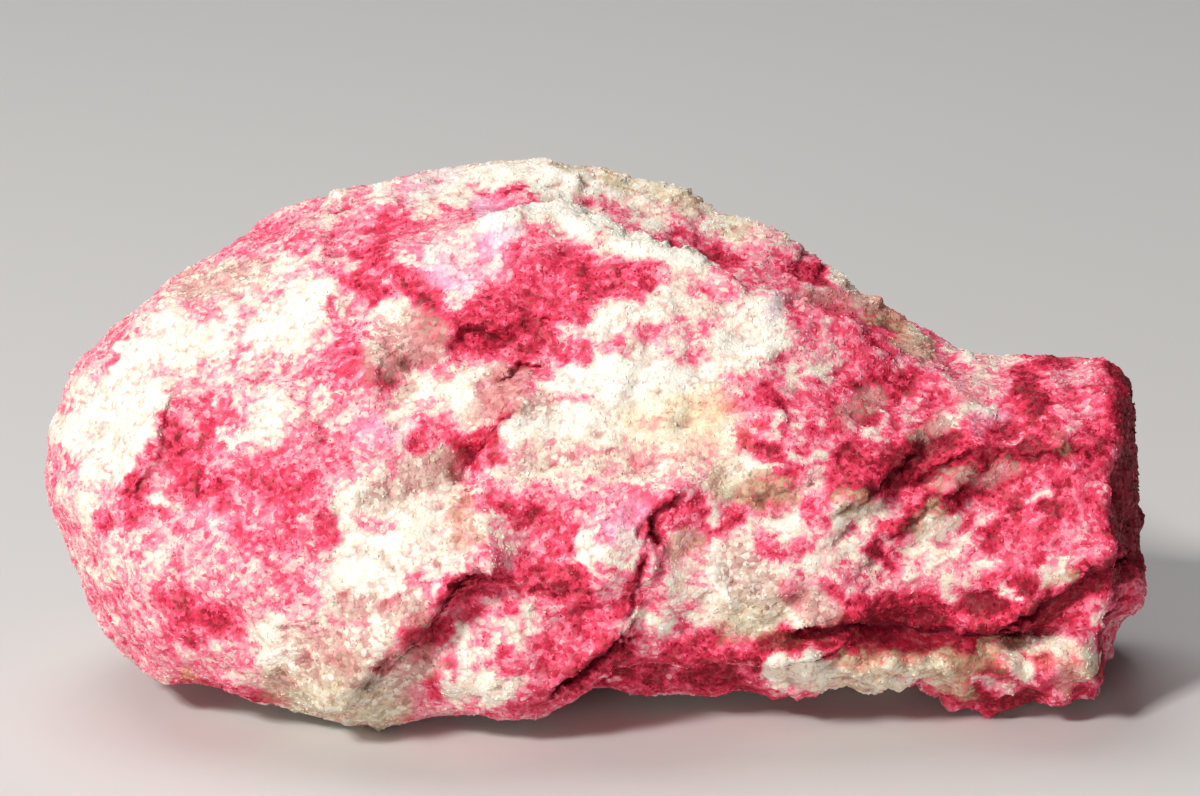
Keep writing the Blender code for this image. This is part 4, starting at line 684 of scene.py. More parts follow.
@dataclass(frozen=True)
class Relief:
    """The sizes of the small relief, in millimetres.

    The pairs named for a front say between which turns to the view, from -1 to 1, the front's own
    relief comes in.
    """

    front: Point = (0.0, 0.3)
    ridge_front: Point = (0.0, 0.12)
    step_edge: float = 0.08
    groove_width: float = 0.17
    step_end: float = 0.8
    uneven: Point = (0.2, 1.6)
    full_groove: float = 0.5
    wander: float = 0.22
    chip_sizes: tuple[float, ...] = (2.6, 1.25)
    chip_tilt: float = 0.2
    slab_gap: float = 1.05
    slab_step: float = 0.2
    swell: float = 0.13
    swell_size: float = 2.4
    lump: float = 0.085
    lump_size: float = 0.95
    grit: float = 0.075
    grit_size: float = 0.5
    pit: float = 0.22
    pit_size: float = 0.85
    knob: float = 0.2
    knob_size: float = 0.85
    pale_rise: float = 0.12
    foot_lump: float = 1.45
    foot_level: float = -12.5
    foot_lump_rise: float = 0.9
    foot_width: float = 1.2
    foot_start: Point = (7.4, 12.4)
    foot_finish: Point = (26.0, 28.5)
    foot_bulge: float = 1.05
    nodule_rise: float = 0.75
    ridge_edge: float = 0.13
    ridge_width: float = 1.0
    ridge_rise: float = 0.65
    ridge_end: float = 1.6
    fill_width: float = 1.15
    fill_rise: float = 0.95
    foot_edge: Point = (27.0, -9.2)
    foot_dent: float = 1.1
    foot_dent_reach: Point = (2.2, 0.9)
    nodule_shake: float = 0.25
    crevice_rounds: int = 6
    crevice_depth: float = 0.16
    rest: float = 0.4  # the mean distance to a cell's middle, as a share of the cell


@dataclass(frozen=True)
class Bedding:
    """How the rock splits: thin slabs that rise to the right, streaked along their rise."""

    facing: tuple[float, float, float] = (-0.42, 0.12, 0.9)
    along: tuple[float, float, float] = (0.9, 0.0, 0.42)
    stretch: float = 2.3

    def own(self, points: np.ndarray) -> np.ndarray:
        """Turns points into the bedding's own directions, shortened along its streaks.

        Args:
            points: places on the stone, in millimetres.

        Returns:
            The same places, on which even noise makes streaks.
        """
        facing = np.array(Vector(self.facing).normalized())
        along = np.array(self.along) - facing * (np.array(self.along) @ facing)
        along /= np.linalg.norm(along)
        across = np.cross(facing, along)
        return np.column_stack((points @ along / self.stretch, points @ across, points @ facing))


def wave(points: np.ndarray, size: float, seed: int) -> np.ndarray:
    """Makes smooth noise.

    Args:
        points: where to read it.
        size: its wavelength, in the points' own unit.
        seed: which noise.

    Returns:
        A value at each point, from about -1 to 1.
    """
    shift = np.array((17.3, 5.1, 9.7)) * seed
    return np.array([noise.noise(place) for place in (points / size + shift).tolist()])


def waves(points: np.ndarray, *layers: tuple[float, int, float]) -> np.ndarray:
    """Adds up layers of smooth noise, each given by its wavelength, its seed and its amount."""
    return sum(amount * wave(points, size, seed) for size, seed, amount in layers)


def cell_distance(points: np.ndarray, size: float) -> np.ndarray:
    """Measures from each point to the middle of its cell, in cells of that size."""
    return np.array([noise.voronoi(place)[0][0] for place in (points / size).tolist()])


def chip_lean(middle: Vector) -> Vector:
    """Gives the chip round a middle its own lean, the same on every run."""
    return Vector([noise.noise(middle * LEAN_SPREAD + shift) for shift in LEAN_SHIFTS])


def smooth(values: np.ndarray, low: float, high: float) -> np.ndarray:
    """Goes smoothly from 0 where the values reach low to 1 where they reach high."""
    share = np.clip((values - low) / (high - low), 0, 1)
    return share * share * (3 - 2 * share)


def line_distance(view: np.ndarray, line: tuple[Point, ...]) -> tuple[np.ndarray, ...]:
    """Measures points of the front view against a line.

    Args:
        view: the (u, v) of each point.
        line: the line's points, or a single one.

    Returns:
        The distance to the line, how far to its left the point lies, and how far past its end.
    """
    if len(line) == 1:
        away = np.linalg.norm(view - np.array(line[0]), axis=1)
        return away, away, np.zeros(len(view))
    nearest = np.full(len(view), np.inf)
    left = np.zeros(len(view))
    past = np.zeros(len(view))
    for index, (start, end) in enumerate(zip(line, line[1:])):
        run = np.subtract(end, start)
        length = math.hypot(*run)
        ahead = run / length
        offset = view - np.array(start)
        along = offset @ ahead
        gap = offset - np.clip(along, 0, length)[:, None] * ahead
        distance = np.linalg.norm(gap, axis=1)
        closer = distance < nearest
        nearest = np.where(closer, distance, nearest)
        left = np.where(closer, offset @ np.array((-ahead[1], ahead[0])), left)
        beyond = np.zeros(len(view))
        if index == 0:
            beyond = np.maximum(beyond, -along)
        if index == len(line) - 2:
            beyond = np.maximum(beyond, along - length)
        past = np.where(closer, beyond, past)
    return nearest, left, past


def point_values(mesh: bpy.types.Mesh, name: str) -> np.ndarray:
    """Reads a vector that each of the mesh's points has, such as co or normal."""
    values = np.empty(len(mesh.vertices) * 3)
    mesh.vertices.foreach_get(name, values)
    return values.reshape(-1, 3)


def neighbour_mean(edges: np.ndarray, values: np.ndarray) -> np.ndarray:
    """Averages values over each point's neighbours.

    Args:
        edges: the two ends of every edge.
        values: a row for each point.

    Returns:
        The mean of the neighbours' rows, for each point.
    """
    count = np.bincount(edges.ravel(), minlength=len(values)).clip(1)
    sums = [
        np.bincount(edges[:, 0], column[edges[:, 1]], len(values))
        + np.bincount(edges[:, 1], column[edges[:, 0]], len(values))
        for column in values.T
    ]
    return np.column_stack(sums) / count[:, None]


def mesh_edges(mesh: bpy.types.Mesh) -> np.ndarray:
    """Reads the two ends of each of the mesh's edges."""
    edges = np.empty(len(mesh.edges) * 2, np.int32)
    mesh.edges.foreach_get("vertices", edges)
    return edges.reshape(-1, 2)


def new_object(name: str, mesh: bpy.types.Mesh) -> bpy.types.Object:
    """Puts a mesh into the scene as an object of that name, at the origin."""
    mesh.name = name
    made = bpy.data.objects.new(name, mesh)
    bpy.context.scene.collection.objects.link(made)
    return made


def evaluated_mesh(obj: bpy.types.Object) -> bpy.types.Mesh:
    """Makes a plain mesh of what the object's modifiers give."""
    graph = bpy.context.evaluated_depsgraph_get()
    return bpy.data.meshes.new_from_object(obj.evaluated_get(graph))


def declare(piece: bpy.types.Object) -> None:
    """Tells the frame what a finished piece rides on and what it stands for."""
    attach(piece, BODY)
    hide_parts(NODE)
    triangles = sum(len(face.vertices) - 2 for face in piece.data.polygons)
    LOG.info("%s: %d triangles", piece.name, triangles)


@dataclass
class BrokenStone:
    """The stone itself: the solid's shape with its fine broken surface and its minerals."""

    view: FrontView = field(default_factory=FrontView)
    relief: Relief = field(default_factory=Relief)
    bedding: Bedding = field(default_factory=Bedding)
    merge: float = 0.001
    voxel: float = 0.302
    rounds: int = 5
    shrink: float = 0.55
    swell_back: float = 0.52
    last_rounds: int = 2
    last_shrink: float = 0.5
    fine_reach: float = 0.42
    fine_cuts: int = 2
    sole: float = 0.3

    def build(self, material: bpy.types.Material) -> bpy.types.Object:
        """Builds the stone's surface.

        Args:
            material: its finish.

        Returns:
            The finished piece, with its minerals, and the sunk places and cracks that take painted
            shade, as point attributes.
        """
        mesh = self.even_copy()
        self.soften(mesh, mesh_edges(mesh))
        mesh = self.refined(mesh)
        points = point_values(mesh, "co") / MM
        normals = point_values(mesh, "normal")
        flat = self.view.flat(points)
        facing = self.view.facing(points, normals)
        minerals = self.minerals(points, flat, smooth(facing, *MARKED_FRONT))
        rise = self.rise(points, minerals)
        front = smooth(facing, *self.relief.front)
        lift, shaded_crack = self.steps(points, flat, front)
        lift += (self.foot(points, flat) + self.filled(points, flat)) * front
        rise += self.ridge(points, flat) * smooth(facing, *self.relief.ridge_front)
        moved = points + rise[:, None] * normals - lift[:, None] * self.view.forward
        moved[:, 0] -= self.dent(flat)
        self.place(mesh, moved)
        # The sunk places and the cracks go in beside the minerals, for the finishes to paint shade
        # from.
        minerals["crevice"] = self.crevices(mesh, mesh_edges(mesh))
        minerals["shaded_crack"] = shaded_crack
        self.crusts(mesh, minerals)
        for name, values in minerals.items():
            attribute = mesh.attributes.new(name, "FLOAT", "POINT")
            attribute.data.foreach_set("value", values.astype(np.float32))
        mesh.shade_smooth()
        mesh.materials.clear()
        mesh.materials.append(material)
        stone = new_object("broken_stone", mesh)
        declare(stone)
        return stone

    def dent(self, flat: np.ndarray) -> np.ndarray:
        """Works out how far the corner past the right foot is broken back, in millimetres."""
        r = self.relief
        edge_u, edge_v = r.foot_edge
        reach_u, reach_v = r.foot_dent_reach
        across = smooth(flat[:, 0], edge_u, edge_u + reach_u)
        return across * smooth(-flat[:, 1], -edge_v, reach_v - edge_v) * r.foot_dent

    def even_copy(self) -> bpy.types.Mesh:
        """Copies the solid's mesh, merges its points and lays an even grid over it."""
        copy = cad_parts[NODE].data.copy()
        work = bmesh.new()
        work.from_mesh(copy)
        bmesh.ops.remove_doubles(work, verts=work.verts, dist=self.merge * MM)
        work.to_mesh(copy)
        work.free()
        copy.materials.clear()
        rough = new_object("stone_copy", copy)
        grid = rough.modifiers.new("grid", "REMESH")
        grid.mode = "VOXEL"
        grid.voxel_size = self.voxel * MM
        mesh = evaluated_mesh(rough)
        bpy.data.objects.remove(rough)
        return mesh

    def soften(self, mesh: bpy.types.Mesh, edges: np.ndarray) -> None:
        """Rounds off the solid's flat triangles without shrinking the stone."""
        points = point_values(mesh, "co")
        for _ in range(self.rounds):
            points += self.shrink * (neighbour_mean(edges, points) - points)
            points -= self.swell_back * (neighbour_mean(edges, points) - points)
        for _ in range(self.last_rounds):
            points += self.last_shrink * (neighbour_mean(edges, points) - points)
        mesh.vertices.foreach_set("co", points.ravel())
        mesh.update()

    def refined(self, mesh: bpy.types.Mesh) -> bpy.types.Mesh:
        """Cuts the grid finer along the steps, so that their edges come out sharp."""
        points = point_values(mesh, "co") / MM
        flat = self.view.flat(points)
        near = np.zeros(len(points), bool)
        for line in (*(step.line for step in STEPS), RIDGE):
            near |= line_distance(flat, line)[0] < self.fine_reach
        near &= self.view.facing(points, point_values(mesh, "normal")) > 0.0
        work = bmesh.new()
        work.from_mesh(mesh)
        faces = [face for face in work.faces if all(near[v.index] for v in face.verts)]
        edges = sorted({edge for face in faces for edge in face.edges}, key=lambda one: one.index)
        bmesh.ops.subdivide_edges(work, edges=edges, cuts=self.fine_cuts, use_grid_fill=True)
        work.to_mesh(mesh)
        work.free()
        mesh.update()
        return mesh

    def steps(
        self, points: np.ndarray, flat: np.ndarray, front: np.ndarray
    ) -> tuple[np.ndarray, np.ndarray]:
        """Works out the small steps and the cracks at their feet.

        Args:
            points: places on the smooth stone, in millimetres.
            flat: the same places on the front view.
            front: how much of the front view's steps each takes, from 0 to 1.

        Returns:
            How far each point comes towards the view, in millimetres, and how deep it lies in a
            crack, from 0 to 1.
        """
        r = self.relief
        layers = ((3.2, 33, 0.8), (1.3, 24, 1.0), (0.5, 25, 0.7), (0.27, 34, 0.6))
        wander = waves(points, *layers) * r.wander
        uneven = np.clip(0.95 + 1.3 * wave(points, 2.3, 26), *r.uneven)
        lifts = np.zeros(len(points))
        cracks = np.zeros(len(points))
        for step in STEPS:
            nearest, left, past = line_distance(flat, step.line)
            level = 0.5 + 0.5 * np.tanh((left + wander) / r.step_edge)
            share = step.proud_share
            lift = step.height * uneven * (level * share - (1 - level) * (1 - share))
            ends = np.exp(-((np.maximum(past, 0) / r.step_end) ** 2)) * front
            shaded_crack = np.exp(-(((left + wander + r.groove_width) / r.groove_width) ** 2)) * ends
            shaded_crack *= nearest < step.reach
            lifts += lift * np.exp(-((nearest / step.reach) ** 2)) * ends
            lifts -= step.groove * uneven * shaded_crack
            cracks = np.maximum(cracks, shaded_crack * min(1.0, step.groove / r.full_groove))
        return lifts, cracks

    def rise(self, points: np.ndarray, minerals: dict[str, np.ndarray]) -> np.ndarray:
        """Works out the small relief.

        Args:
            points: places on the smooth stone, in millimetres.
            minerals: how red the rock is there, and its shares of the other minerals.

        Returns:
            How far each point rises along its normal, in millimetres.
        """
        r = self.relief
        own = self.bedding.own(points)
        rise = wave(points, r.swell_size, 21) * r.swell
        rise += wave(own, r.lump_size, 22) * r.lump + wave(points, r.grit_size, 23) * r.grit
        for size in r.chip_sizes:
            rise += self.chips(points, size)
        warp = waves(points, (5.0, 27, 1.6), (1.5, 28, 0.35))
        depth = own[:, 2] + warp
        saw = 0.5 - (depth / r.slab_gap) % 1.0
        slabby = 0.35 + 0.65 * smooth(points[:, 0], 2.0, 14.0)
        slabby += (1.5 - slabby) * smooth(points[:, 1], 2.0, 7.0)
        rise += saw * r.slab_step * slabby * np.clip(0.4 + 1.3 * wave(points, 3.1, 29), 0, 1)
        pits = smooth(-wave(points, r.pit_size, 30), 0.28, 0.6)
        rise -= pits * r.pit * smooth(-wave(points, 4.0, 31), -0.3, 0.3)
        tone = minerals["tone"]
        rise += r.pale_rise * (0.5 - tone) * smooth(wave(points, 1.6, 32), -0.3, 0.3)
        knobs = r.rest - cell_distance(points, r.knob_size)
        coarse = minerals["olive"] + 0.6 * minerals["quartz"] + 0.35 * smooth(-tone, -0.4, -0.1)
        rise += knobs * r.knob * np.clip(coarse, 0.15, 1)
        foot = smooth(points[:, 0], 7.0, 11.0) * smooth(-points[:, 2], -4.6, -3.6)
        foot *= smooth(-points[:, 1], 0.0, 4.0)
        rise += (r.rest - cell_distance(points, r.foot_lump)) * r.foot_lump_rise * foot
        return rise - rise.mean()

    def ridge(self, points: np.ndarray, flat: np.ndarray) -> np.ndarray:
        """Works out how far the white ridge rises: slowly up to its edge, then it drops.

        Args:
            points: places on the smooth stone, in millimetres.
            flat: the same places on the front view.

        Returns:
            How far each point rises along its normal, in millimetres.
        """
        r = self.relief
        _, below, past = line_distance(flat, RIDGE)
        below = below + 0.12 * wave(points, 1.2, 39) + 0.04 * wave(points, 0.45, 40)
        face = smooth(below, -r.ridge_edge, 0.0) * np.clip(1 - below / r.ridge_width, 0, 1)
        ends = np.exp(-((np.maximum(past, 0) / r.ridge_end) ** 2))
        return r.ridge_rise * face * ends * (1 + 0.3 * wave(points, 2.0, 38))

    def foot(self, points: np.ndarray, flat: np.ndarray) -> np.ndarray:
        """Works out how far the right foot's lumpy strip bulges towards the view.

        Args:
            points: places on the smooth stone, in millimetres.
            flat: the same places on the front view.

        Returns:
            How far each point comes forward, in millimetres.
        """
        r = self.relief
        level = r.foot_level + 0.3 * wave(points, 4.0, 35)
        across = np.exp(-(((flat[:, 1] - level) / r.foot_width) ** 2))
        finish, end = r.foot_finish
        along = smooth(flat[:, 0], *r.foot_start) * smooth(-flat[:, 0], -end, -finish)
        bulge = r.foot_bulge * across * along * (1 + 0.35 * wave(points, 2.6, 36))
        shake = [r.nodule_shake * wave(points, 0.9, seed) for seed in (45, 46)]
        shaken = flat + np.column_stack(shake)
        lumps = np.zeros(len(points))
        for middle, radius in NODULES:
            away = np.linalg.norm(shaken - np.array(middle), axis=1) / radius
            lumps = np.maximum(lumps, r.nodule_rise * radius * np.clip(1 - away * away, 0, 1))
        return bulge + lumps

    def filled(self, points: np.ndarray, flat: np.ndarray) -> np.ndarray:
        """Works out how far the hollow beside the cracks is filled.

        Args:
            points: places on the smooth stone, in millimetres.
            flat: the same places on the front view.

        Returns:
            How far each point comes forward, in millimetres.
        """
        r = self.relief
        away = line_distance(flat, FILLED)[0]
        uneven = 1 + 0.3 * wave(points, 1.7, 44)
        return r.fill_rise * np.exp(-((away / r.fill_width) ** 2)) * uneven

    def chips(self, points: np.ndarray, size: float) -> np.ndarray:
        """Makes flat chips, each leaning its own way.

        Args:
            points: places on the stone, in millimetres.
            size: across a chip, in millimetres.

        Returns:
            How far each point rises.
        """
        rises = np.empty(len(points))
        bend = np.column_stack([wave(points, size, seed) for seed in (41, 42, 43)]) * 0.3
        for index, place in enumerate((points / size + bend).tolist()):
            distances, centres = noise.voronoi(place)
            lean = chip_lean(centres[0])
            edge = min(1.0, (distances[1] - distances[0]) / 0.1)
            rises[index] = (Vector(place) - centres[0]).dot(lean) * edge
        return rises * size * self.relief.chip_tilt

    def place(self, mesh: bpy.types.Mesh, points: np.ndarray) -> None:
        """Sets the mesh's points, brought exactly to the solid's box, with its soles flat."""
        low, high = np.array(CAD_BOX) / MM
        share = (points - points.min(axis=0)) / np.ptp(points, axis=0)
        points = low + share * (high - low)
        points[:, 2] = np.where(points[:, 2] < self.sole * 0.5, 0.0, points[:, 2])
        mesh.vertices.foreach_set("co", (points * MM).ravel())
        mesh.update()

    def crevices(self, mesh: bpy.types.Mesh, edges: np.ndarray) -> np.ndarray:
        """Finds how sunk each point is among its neighbours, from -1 proud to 1 sunk."""
        points = point_values(mesh, "co") / MM
        around = points
        for _ in range(self.relief.crevice_rounds):
            around = neighbour_mean(edges, around)
        depth = np.einsum("ij,ij->i", around - points, point_values(mesh, "normal"))
        return np.clip(depth / self.relief.crevice_depth, -1, 1)

    def minerals(
        self, points: np.ndarray, flat: np.ndarray, front: np.ndarray
    ) -> dict[str, np.ndarray]:
        """Works out how red the rock is at each point, with painted shade and light among the tones,
        and its share of each other mineral.

        Args:
            points: places on the smooth stone, in millimetres.
            flat: the same places on the front view.
            front: how much of the front view's markings each takes.

        Returns:
            The values at each point, by name.
        """
        own = self.bedding.own(points)
        broad = waves(own, (5.2, 1, 1.0), (2.4, 2, 0.5))
        tone = 0.52 + 0.62 * broad + 0.18 * wave(own, 1.1, 3)
        # The broken end is painted redder: partly its own colour, partly painted shade.
        tone += 0.3 * smooth(points[:, 0], *RED_SHADED_END)
        ragged = waves(points, (0.75, 37, 0.16), (0.35, 18, 0.1))
        cream = smooth(waves(own, (4.1, 4, 1.0), (1.5, 5, 0.35)) + ragged, 0.08, 0.38)
        hidden = {"tone": tone + (Tone.CREAM.value - tone) * cream}
        for name, size, seed in (("quartz", 3.2, 6), ("olive", 3.6, 8)):
            broken = waves(own, (size, seed, 1.0), (1.0, seed + 1, 0.3)) + ragged
            hidden[name] = 0.8 * smooth(broken, 0.28, 0.55)
        hidden["ochre"] = 0.5 * smooth(wave(own, 4.4, 10), 0.34, 0.6) * cream
        hidden["violet"] = 0.6 * smooth(wave(own, 3.0, 11), 0.34, 0.5)

        shake = [waves(points, (1.5, seed, 0.55), (0.6, seed + 1, 0.3)) for seed in (12, 14)]
        shaken = flat + np.column_stack(shake)
        marked = {tint.value: np.zeros(len(points)) for tint in Tint}
        marked["tone"] = 0.5 + 0.25 * broad
        # The right half is painted redder, partly as painted shade where the light falls off; the
        # left grows paler.
        redder = 0.15 * smooth(flat[:, 0], *RED_SHADED_RIGHT) - 0.05 * smooth(-flat[:, 0], *PALE_LEFT)
        for each in PATCHES:
            distance = line_distance(shaken, each.path)[0]
            share = smooth(-distance / each.width, *PATCH_EDGE) * each.strength
            is_tone = isinstance(each.kind, Tone)
            name = "tone" if is_tone else each.kind.value
            target = each.kind.value if is_tone else 1.0
            marked[name] += (target - marked[name]) * share
        streak = 0.09 * wave(own, 0.9, 16) + 0.07 * wave(points, 0.7, 17)
        minerals = {name: hidden[name] + (marked[name] - hidden[name]) * front for name in marked}
        minerals["tone"] = np.clip(minerals["tone"] + streak + redder, *TONE_RANGE)
        return minerals

    def crusts(self, mesh: bpy.types.Mesh, minerals: dict[str, np.ndarray]) -> None:
        """Adds where each crust of crystals may grow: never under the soles."""
        height = point_values(mesh, "co")[:, 2] / MM
        clear = smooth(height, 0.3, 0.5) * (1 - minerals["shaded_crack"])
        quartz = np.clip(minerals["quartz"] + minerals["olive"], 0, 1)
        rose = smooth(minerals["tone"], 0.2, 0.5)
        minerals["rose_cover"] = clear * rose * (1 - 0.7 * quartz)
        minerals["cream_cover"] = clear * (1 - rose) * (1 - 0.5 * quartz)
        minerals["glass_cover"] = clear * (0.12 + 0.88 * quartz)


# ---------------------------------------------------------------- the crusts of crystals


class CrystalShape(Enum):
    """The plain shapes that crystals are made from."""

    BLOCK = "block"
    PRISM = "prism"


class TreeSheet:
    """Adds nodes to a node tree, all in one way."""

    def __init__(self, tree: bpy.types.NodeTree) -> None:
        """Keeps the tree that nodes are added to."""
        self.tree = tree

    def add(
        self, kind: str, settings: dict[str, Any] | None = None, **inputs: Any
    ) -> bpy.types.Node:
        """Adds a node.

        Args:
            kind: the node's type.
            settings: what is set first, such as an operation or a ramp's stops.
            inputs: the values or links of its sockets, by name or identifier, _ for a space.

        Returns:
            The node.
        """
        node = self.tree.nodes.new(kind)
        for name, value in (settings or {}).items():
            if name == "stops":
                self.set_stops(node.color_ramp, value)
            else:
                setattr(node, name, value)
        for name, value in inputs.items():
            self.feed(self.socket(node.inputs, name), value)
        return node

    def feed(self, socket: bpy.types.NodeSocket, value: Any) -> None:
        """Gives a socket its value, or the link that it takes."""
        if isinstance(value, Wire):
            value = value.socket
        if isinstance(value, bpy.types.NodeSocket):
            self.tree.links.new(value, socket)
        else:
            socket.default_value = value

    @staticmethod
    def socket(sockets: Any, name: str) -> bpy.types.NodeSocket:
        """Finds a socket by its identifier, or else the first one of that name in use."""
        for socket in sockets:
            if socket.identifier == name:
                return socket
        plain = name.replace("_", " ")
        return next(s for s in sockets if s.name == plain and s.enabled)

    @staticmethod
    def set_stops(ramp: bpy.types.ColorRamp, stops: tuple[tuple[float, Colour], ...]) -> None:
        """Gives a colour ramp these stops."""
        while len(ramp.elements) < len(stops):
            ramp.elements.new(0.5)
        for element, (position, colour) in zip(ramp.elements, stops):
            element.position = position
            element.color = (*colour, 1.0)


SHADE_SEED = 100  # added to a crust's seed for its crystals' shades


@dataclass(frozen=True)
class Crust:
    """A crust of crystals of one mineral, grown over the stone's surface."""

    name: str
    shape: CrystalShape
    cover: str
    seed: int
    spacing: float
    per_mm2: float
    smallest: float
    largest: float
    sunk: float = 0.35
    tallness: float = 1.5

    def crystal(self, sheet: TreeSheet) -> bpy.types.NodeSocket:
        """Adds one crystal, about one unit across.

        Args:
            sheet: where its node goes.

        Returns:
            The crystal's mesh.
        """
        if self.shape is CrystalShape.BLOCK:
            return sheet.add("GeometryNodeMeshCube", Size=(1.0, 0.85, 0.7)).outputs["Mesh"]
        prism = sheet.add(
            "GeometryNodeMeshCylinder",
            {"fill_type": "NGON"},
            Vertices=3,
            Radius=0.55,
            Depth=self.tallness,
        )
        return prism.outputs["Mesh"]

    def tree(self) -> bpy.types.NodeTree:
        """Builds the node tree that grows the crust.

        Returns:
            The tree, with its sizes as named inputs.
        """
        tree = bpy.data.node_groups.new(self.name, "GeometryNodeTree")
        face = tree.interface
        face.new_socket("Surface", in_out="INPUT", socket_type="NodeSocketGeometry")
        for name in ("Spacing", "Density", "Smallest", "Largest", "Sunk"):
            face.new_socket(name, in_out="INPUT", socket_type="NodeSocketFloat")
        face.new_socket("Seed", in_out="INPUT", socket_type="NodeSocketInt")
        face.new_socket("Finish", in_out="INPUT", socket_type="NodeSocketMaterial")
        face.new_socket("Crust", in_out="OUTPUT", socket_type="NodeSocketGeometry")
        sheet = TreeSheet(tree)
        given = sheet.add("NodeGroupInput").outputs
        seed = given["Seed"]
        cover = sheet.add(
            "GeometryNodeInputNamedAttribute", {"data_type": "FLOAT"}, Name=self.cover
        )
        spread = sheet.add(
            "GeometryNodeDistributePointsOnFaces",
            {"distribute_method": "POISSON"},
            Mesh=given["Surface"],
            Distance_Min=given["Spacing"],
            Density_Max=given["Density"],
            Density_Factor=cover.outputs["Attribute"],
            Seed=seed,
        )
        size = sheet.add(
            "FunctionNodeRandomValue",
            {"data_type": "FLOAT"},
            Min_001=given["Smallest"],
            Max_001=given["Largest"],
            Seed=seed,
        )
        size = TreeSheet.socket(size.outputs, "Value_001")
        proportions = self.random_vector(sheet, (0.7, 0.7, 0.7), (1.3, 1.3, 1.3), seed)
        scale = sheet.add(
            "ShaderNodeVectorMath", {"operation": "SCALE"}, Vector=proportions, Scale=size
        ).outputs["Vector"]
        turn = self.random_vector(sheet, (0.0, 0.0, 0.0), (math.tau, math.tau, math.tau), seed)
        depth = sheet.add(
            "ShaderNodeMath", {"operation": "MULTIPLY"}, Value=size, Value_001=given["Sunk"]
        ).outputs["Value"]
        down = sheet.add(
            "ShaderNodeMath", {"operation": "MULTIPLY"}, Value=depth, Value_001=-1.0
        ).outputs["Value"]
        offset = sheet.add(
            "ShaderNodeVectorMath",
            {"operation": "SCALE"},
            Vector=spread.outputs["Normal"],
            Scale=down,
        ).outputs["Vector"]
        sunk = sheet.add(
            "GeometryNodeSetPosition", Geometry=spread.outputs["Points"], Offset=offset
        )
        grown = sheet.add(
            "GeometryNodeInstanceOnPoints",
            Points=sunk.outputs["Geometry"],
            Instance=self.crystal(sheet),
            Rotation=turn,
            Scale=scale,
        )
        shade = sheet.add(
            "FunctionNodeRandomValue",
            {"data_type": "FLOAT"},
            Min_001=0.0,
            Max_001=1.0,
            Seed=self.seed + SHADE_SEED,
        )
        shade = TreeSheet.socket(shade.outputs, "Value_001")
        marked = sheet.add(
            "GeometryNodeStoreNamedAttribute",
            {"data_type": "FLOAT", "domain": "INSTANCE"},
            Geometry=grown.outputs["Instances"],
            Name="grain",
            Value=shade,
        )
        whole = sheet.add("GeometryNodeRealizeInstances", Geometry=marked.outputs["Geometry"])
        sharp = sheet.add(
            "GeometryNodeSetShadeSmooth",
            Geometry=whole.outputs["Geometry"],
            Shade_Smooth=False,
        )
        dressed = sheet.add(
            "GeometryNodeSetMaterial",
            Geometry=sharp.outputs["Geometry"],
            Material=given["Finish"],
        )
        sheet.add("NodeGroupOutput", Crust=dressed.outputs["Geometry"])
        return tree

    @staticmethod
    def random_vector(sheet: TreeSheet, low: Colour, high: Colour, seed: Any) -> Any:
        """Adds a random vector between two others, and returns its socket."""
        return sheet.add(
            "FunctionNodeRandomValue", {"data_type": "FLOAT_VECTOR"}, Min=low, Max=high, Seed=seed
        ).outputs["Value"]

    def build(self, stone: bpy.types.Object, material: bpy.types.Material) -> bpy.types.Object:
        """Grows the crust.

        Args:
            stone: what it grows on.
            material: its finish.

        Returns:
            The finished piece.
        """
        bed = new_object(f"{self.name}_bed", stone.data.copy())
        growth = bed.modifiers.new("growth", "NODES")
        growth.node_group = self.tree()
        sizes = {
            "Spacing": self.spacing * MM,
            "Density": self.per_mm2 / MM**2,
            "Smallest": self.smallest * MM,
            "Largest": self.largest * MM,
            "Sunk": self.sunk,
            "Seed": self.seed,
            "Finish": material,
        }
        for item in growth.node_group.interface.items_tree:
            if item.name in sizes and item.in_out == "INPUT":
                growth[item.identifier] = sizes[item.name]
        mesh = evaluated_mesh(bed)
        bpy.data.objects.remove(bed)
        crust = new_object(self.name, mesh)
        declare(crust)
        return crust


CRUSTS = (
    Crust("rose_grains", CrystalShape.PRISM, "rose_cover", 3, 0.15, 9.5, 0.08, 0.19),
    Crust("rose_sugar", CrystalShape.BLOCK, "rose_cover", 5, 0.18, 7.0, 0.07, 0.17),
    Crust("cream_grains", CrystalShape.BLOCK, "cream_cover", 7, 0.16, 10.0, 0.08, 0.21),
    Crust("glassy_grains", CrystalShape.BLOCK, "glass_cover", 9, 0.2, 9.0, 0.1, 0.25),
)


# ---------------------------------------------------------------- finishes


class Wire:
    """A number's socket that takes part in ordinary sums."""

    def __init__(self, sheet: TreeSheet, socket: bpy.types.NodeSocket) -> None:
        """Keeps the socket and where new nodes go."""
        self.sheet = sheet
        self.socket = socket

    def sum(self, operation: str, first: Any, second: Any) -> "Wire":
        """Adds a Math node for two values or sockets."""
        node = self.sheet.add(
            "ShaderNodeMath", {"operation": operation}, Value=first, Value_001=second
        )
        return Wire(self.sheet, node.outputs[0])

    def __add__(self, other: Any) -> "Wire":
        """Self + other."""
        return self.sum("ADD", self, other)

    __radd__ = __add__

    def __sub__(self, other: Any) -> "Wire":
        """Self - other."""
        return self.sum("SUBTRACT", self, other)

    def __rsub__(self, other: Any) -> "Wire":
        """Other - self."""
        return self.sum("SUBTRACT", other, self)

    def __mul__(self, other: Any) -> "Wire":
        """Self * other."""
        return self.sum("MULTIPLY", self, other)

    __rmul__ = __mul__

    def step(self, low: float, high: float) -> "Wire":
        """Goes smoothly from 0 at low to 1 at high."""
        node = self.sheet.add(
            "ShaderNodeMapRange",
            {"interpolation_type": "SMOOTHSTEP"},
            Value=self,
            From_Min=low,
            From_Max=high,
        )
        return Wire(self.sheet, node.outputs[0])


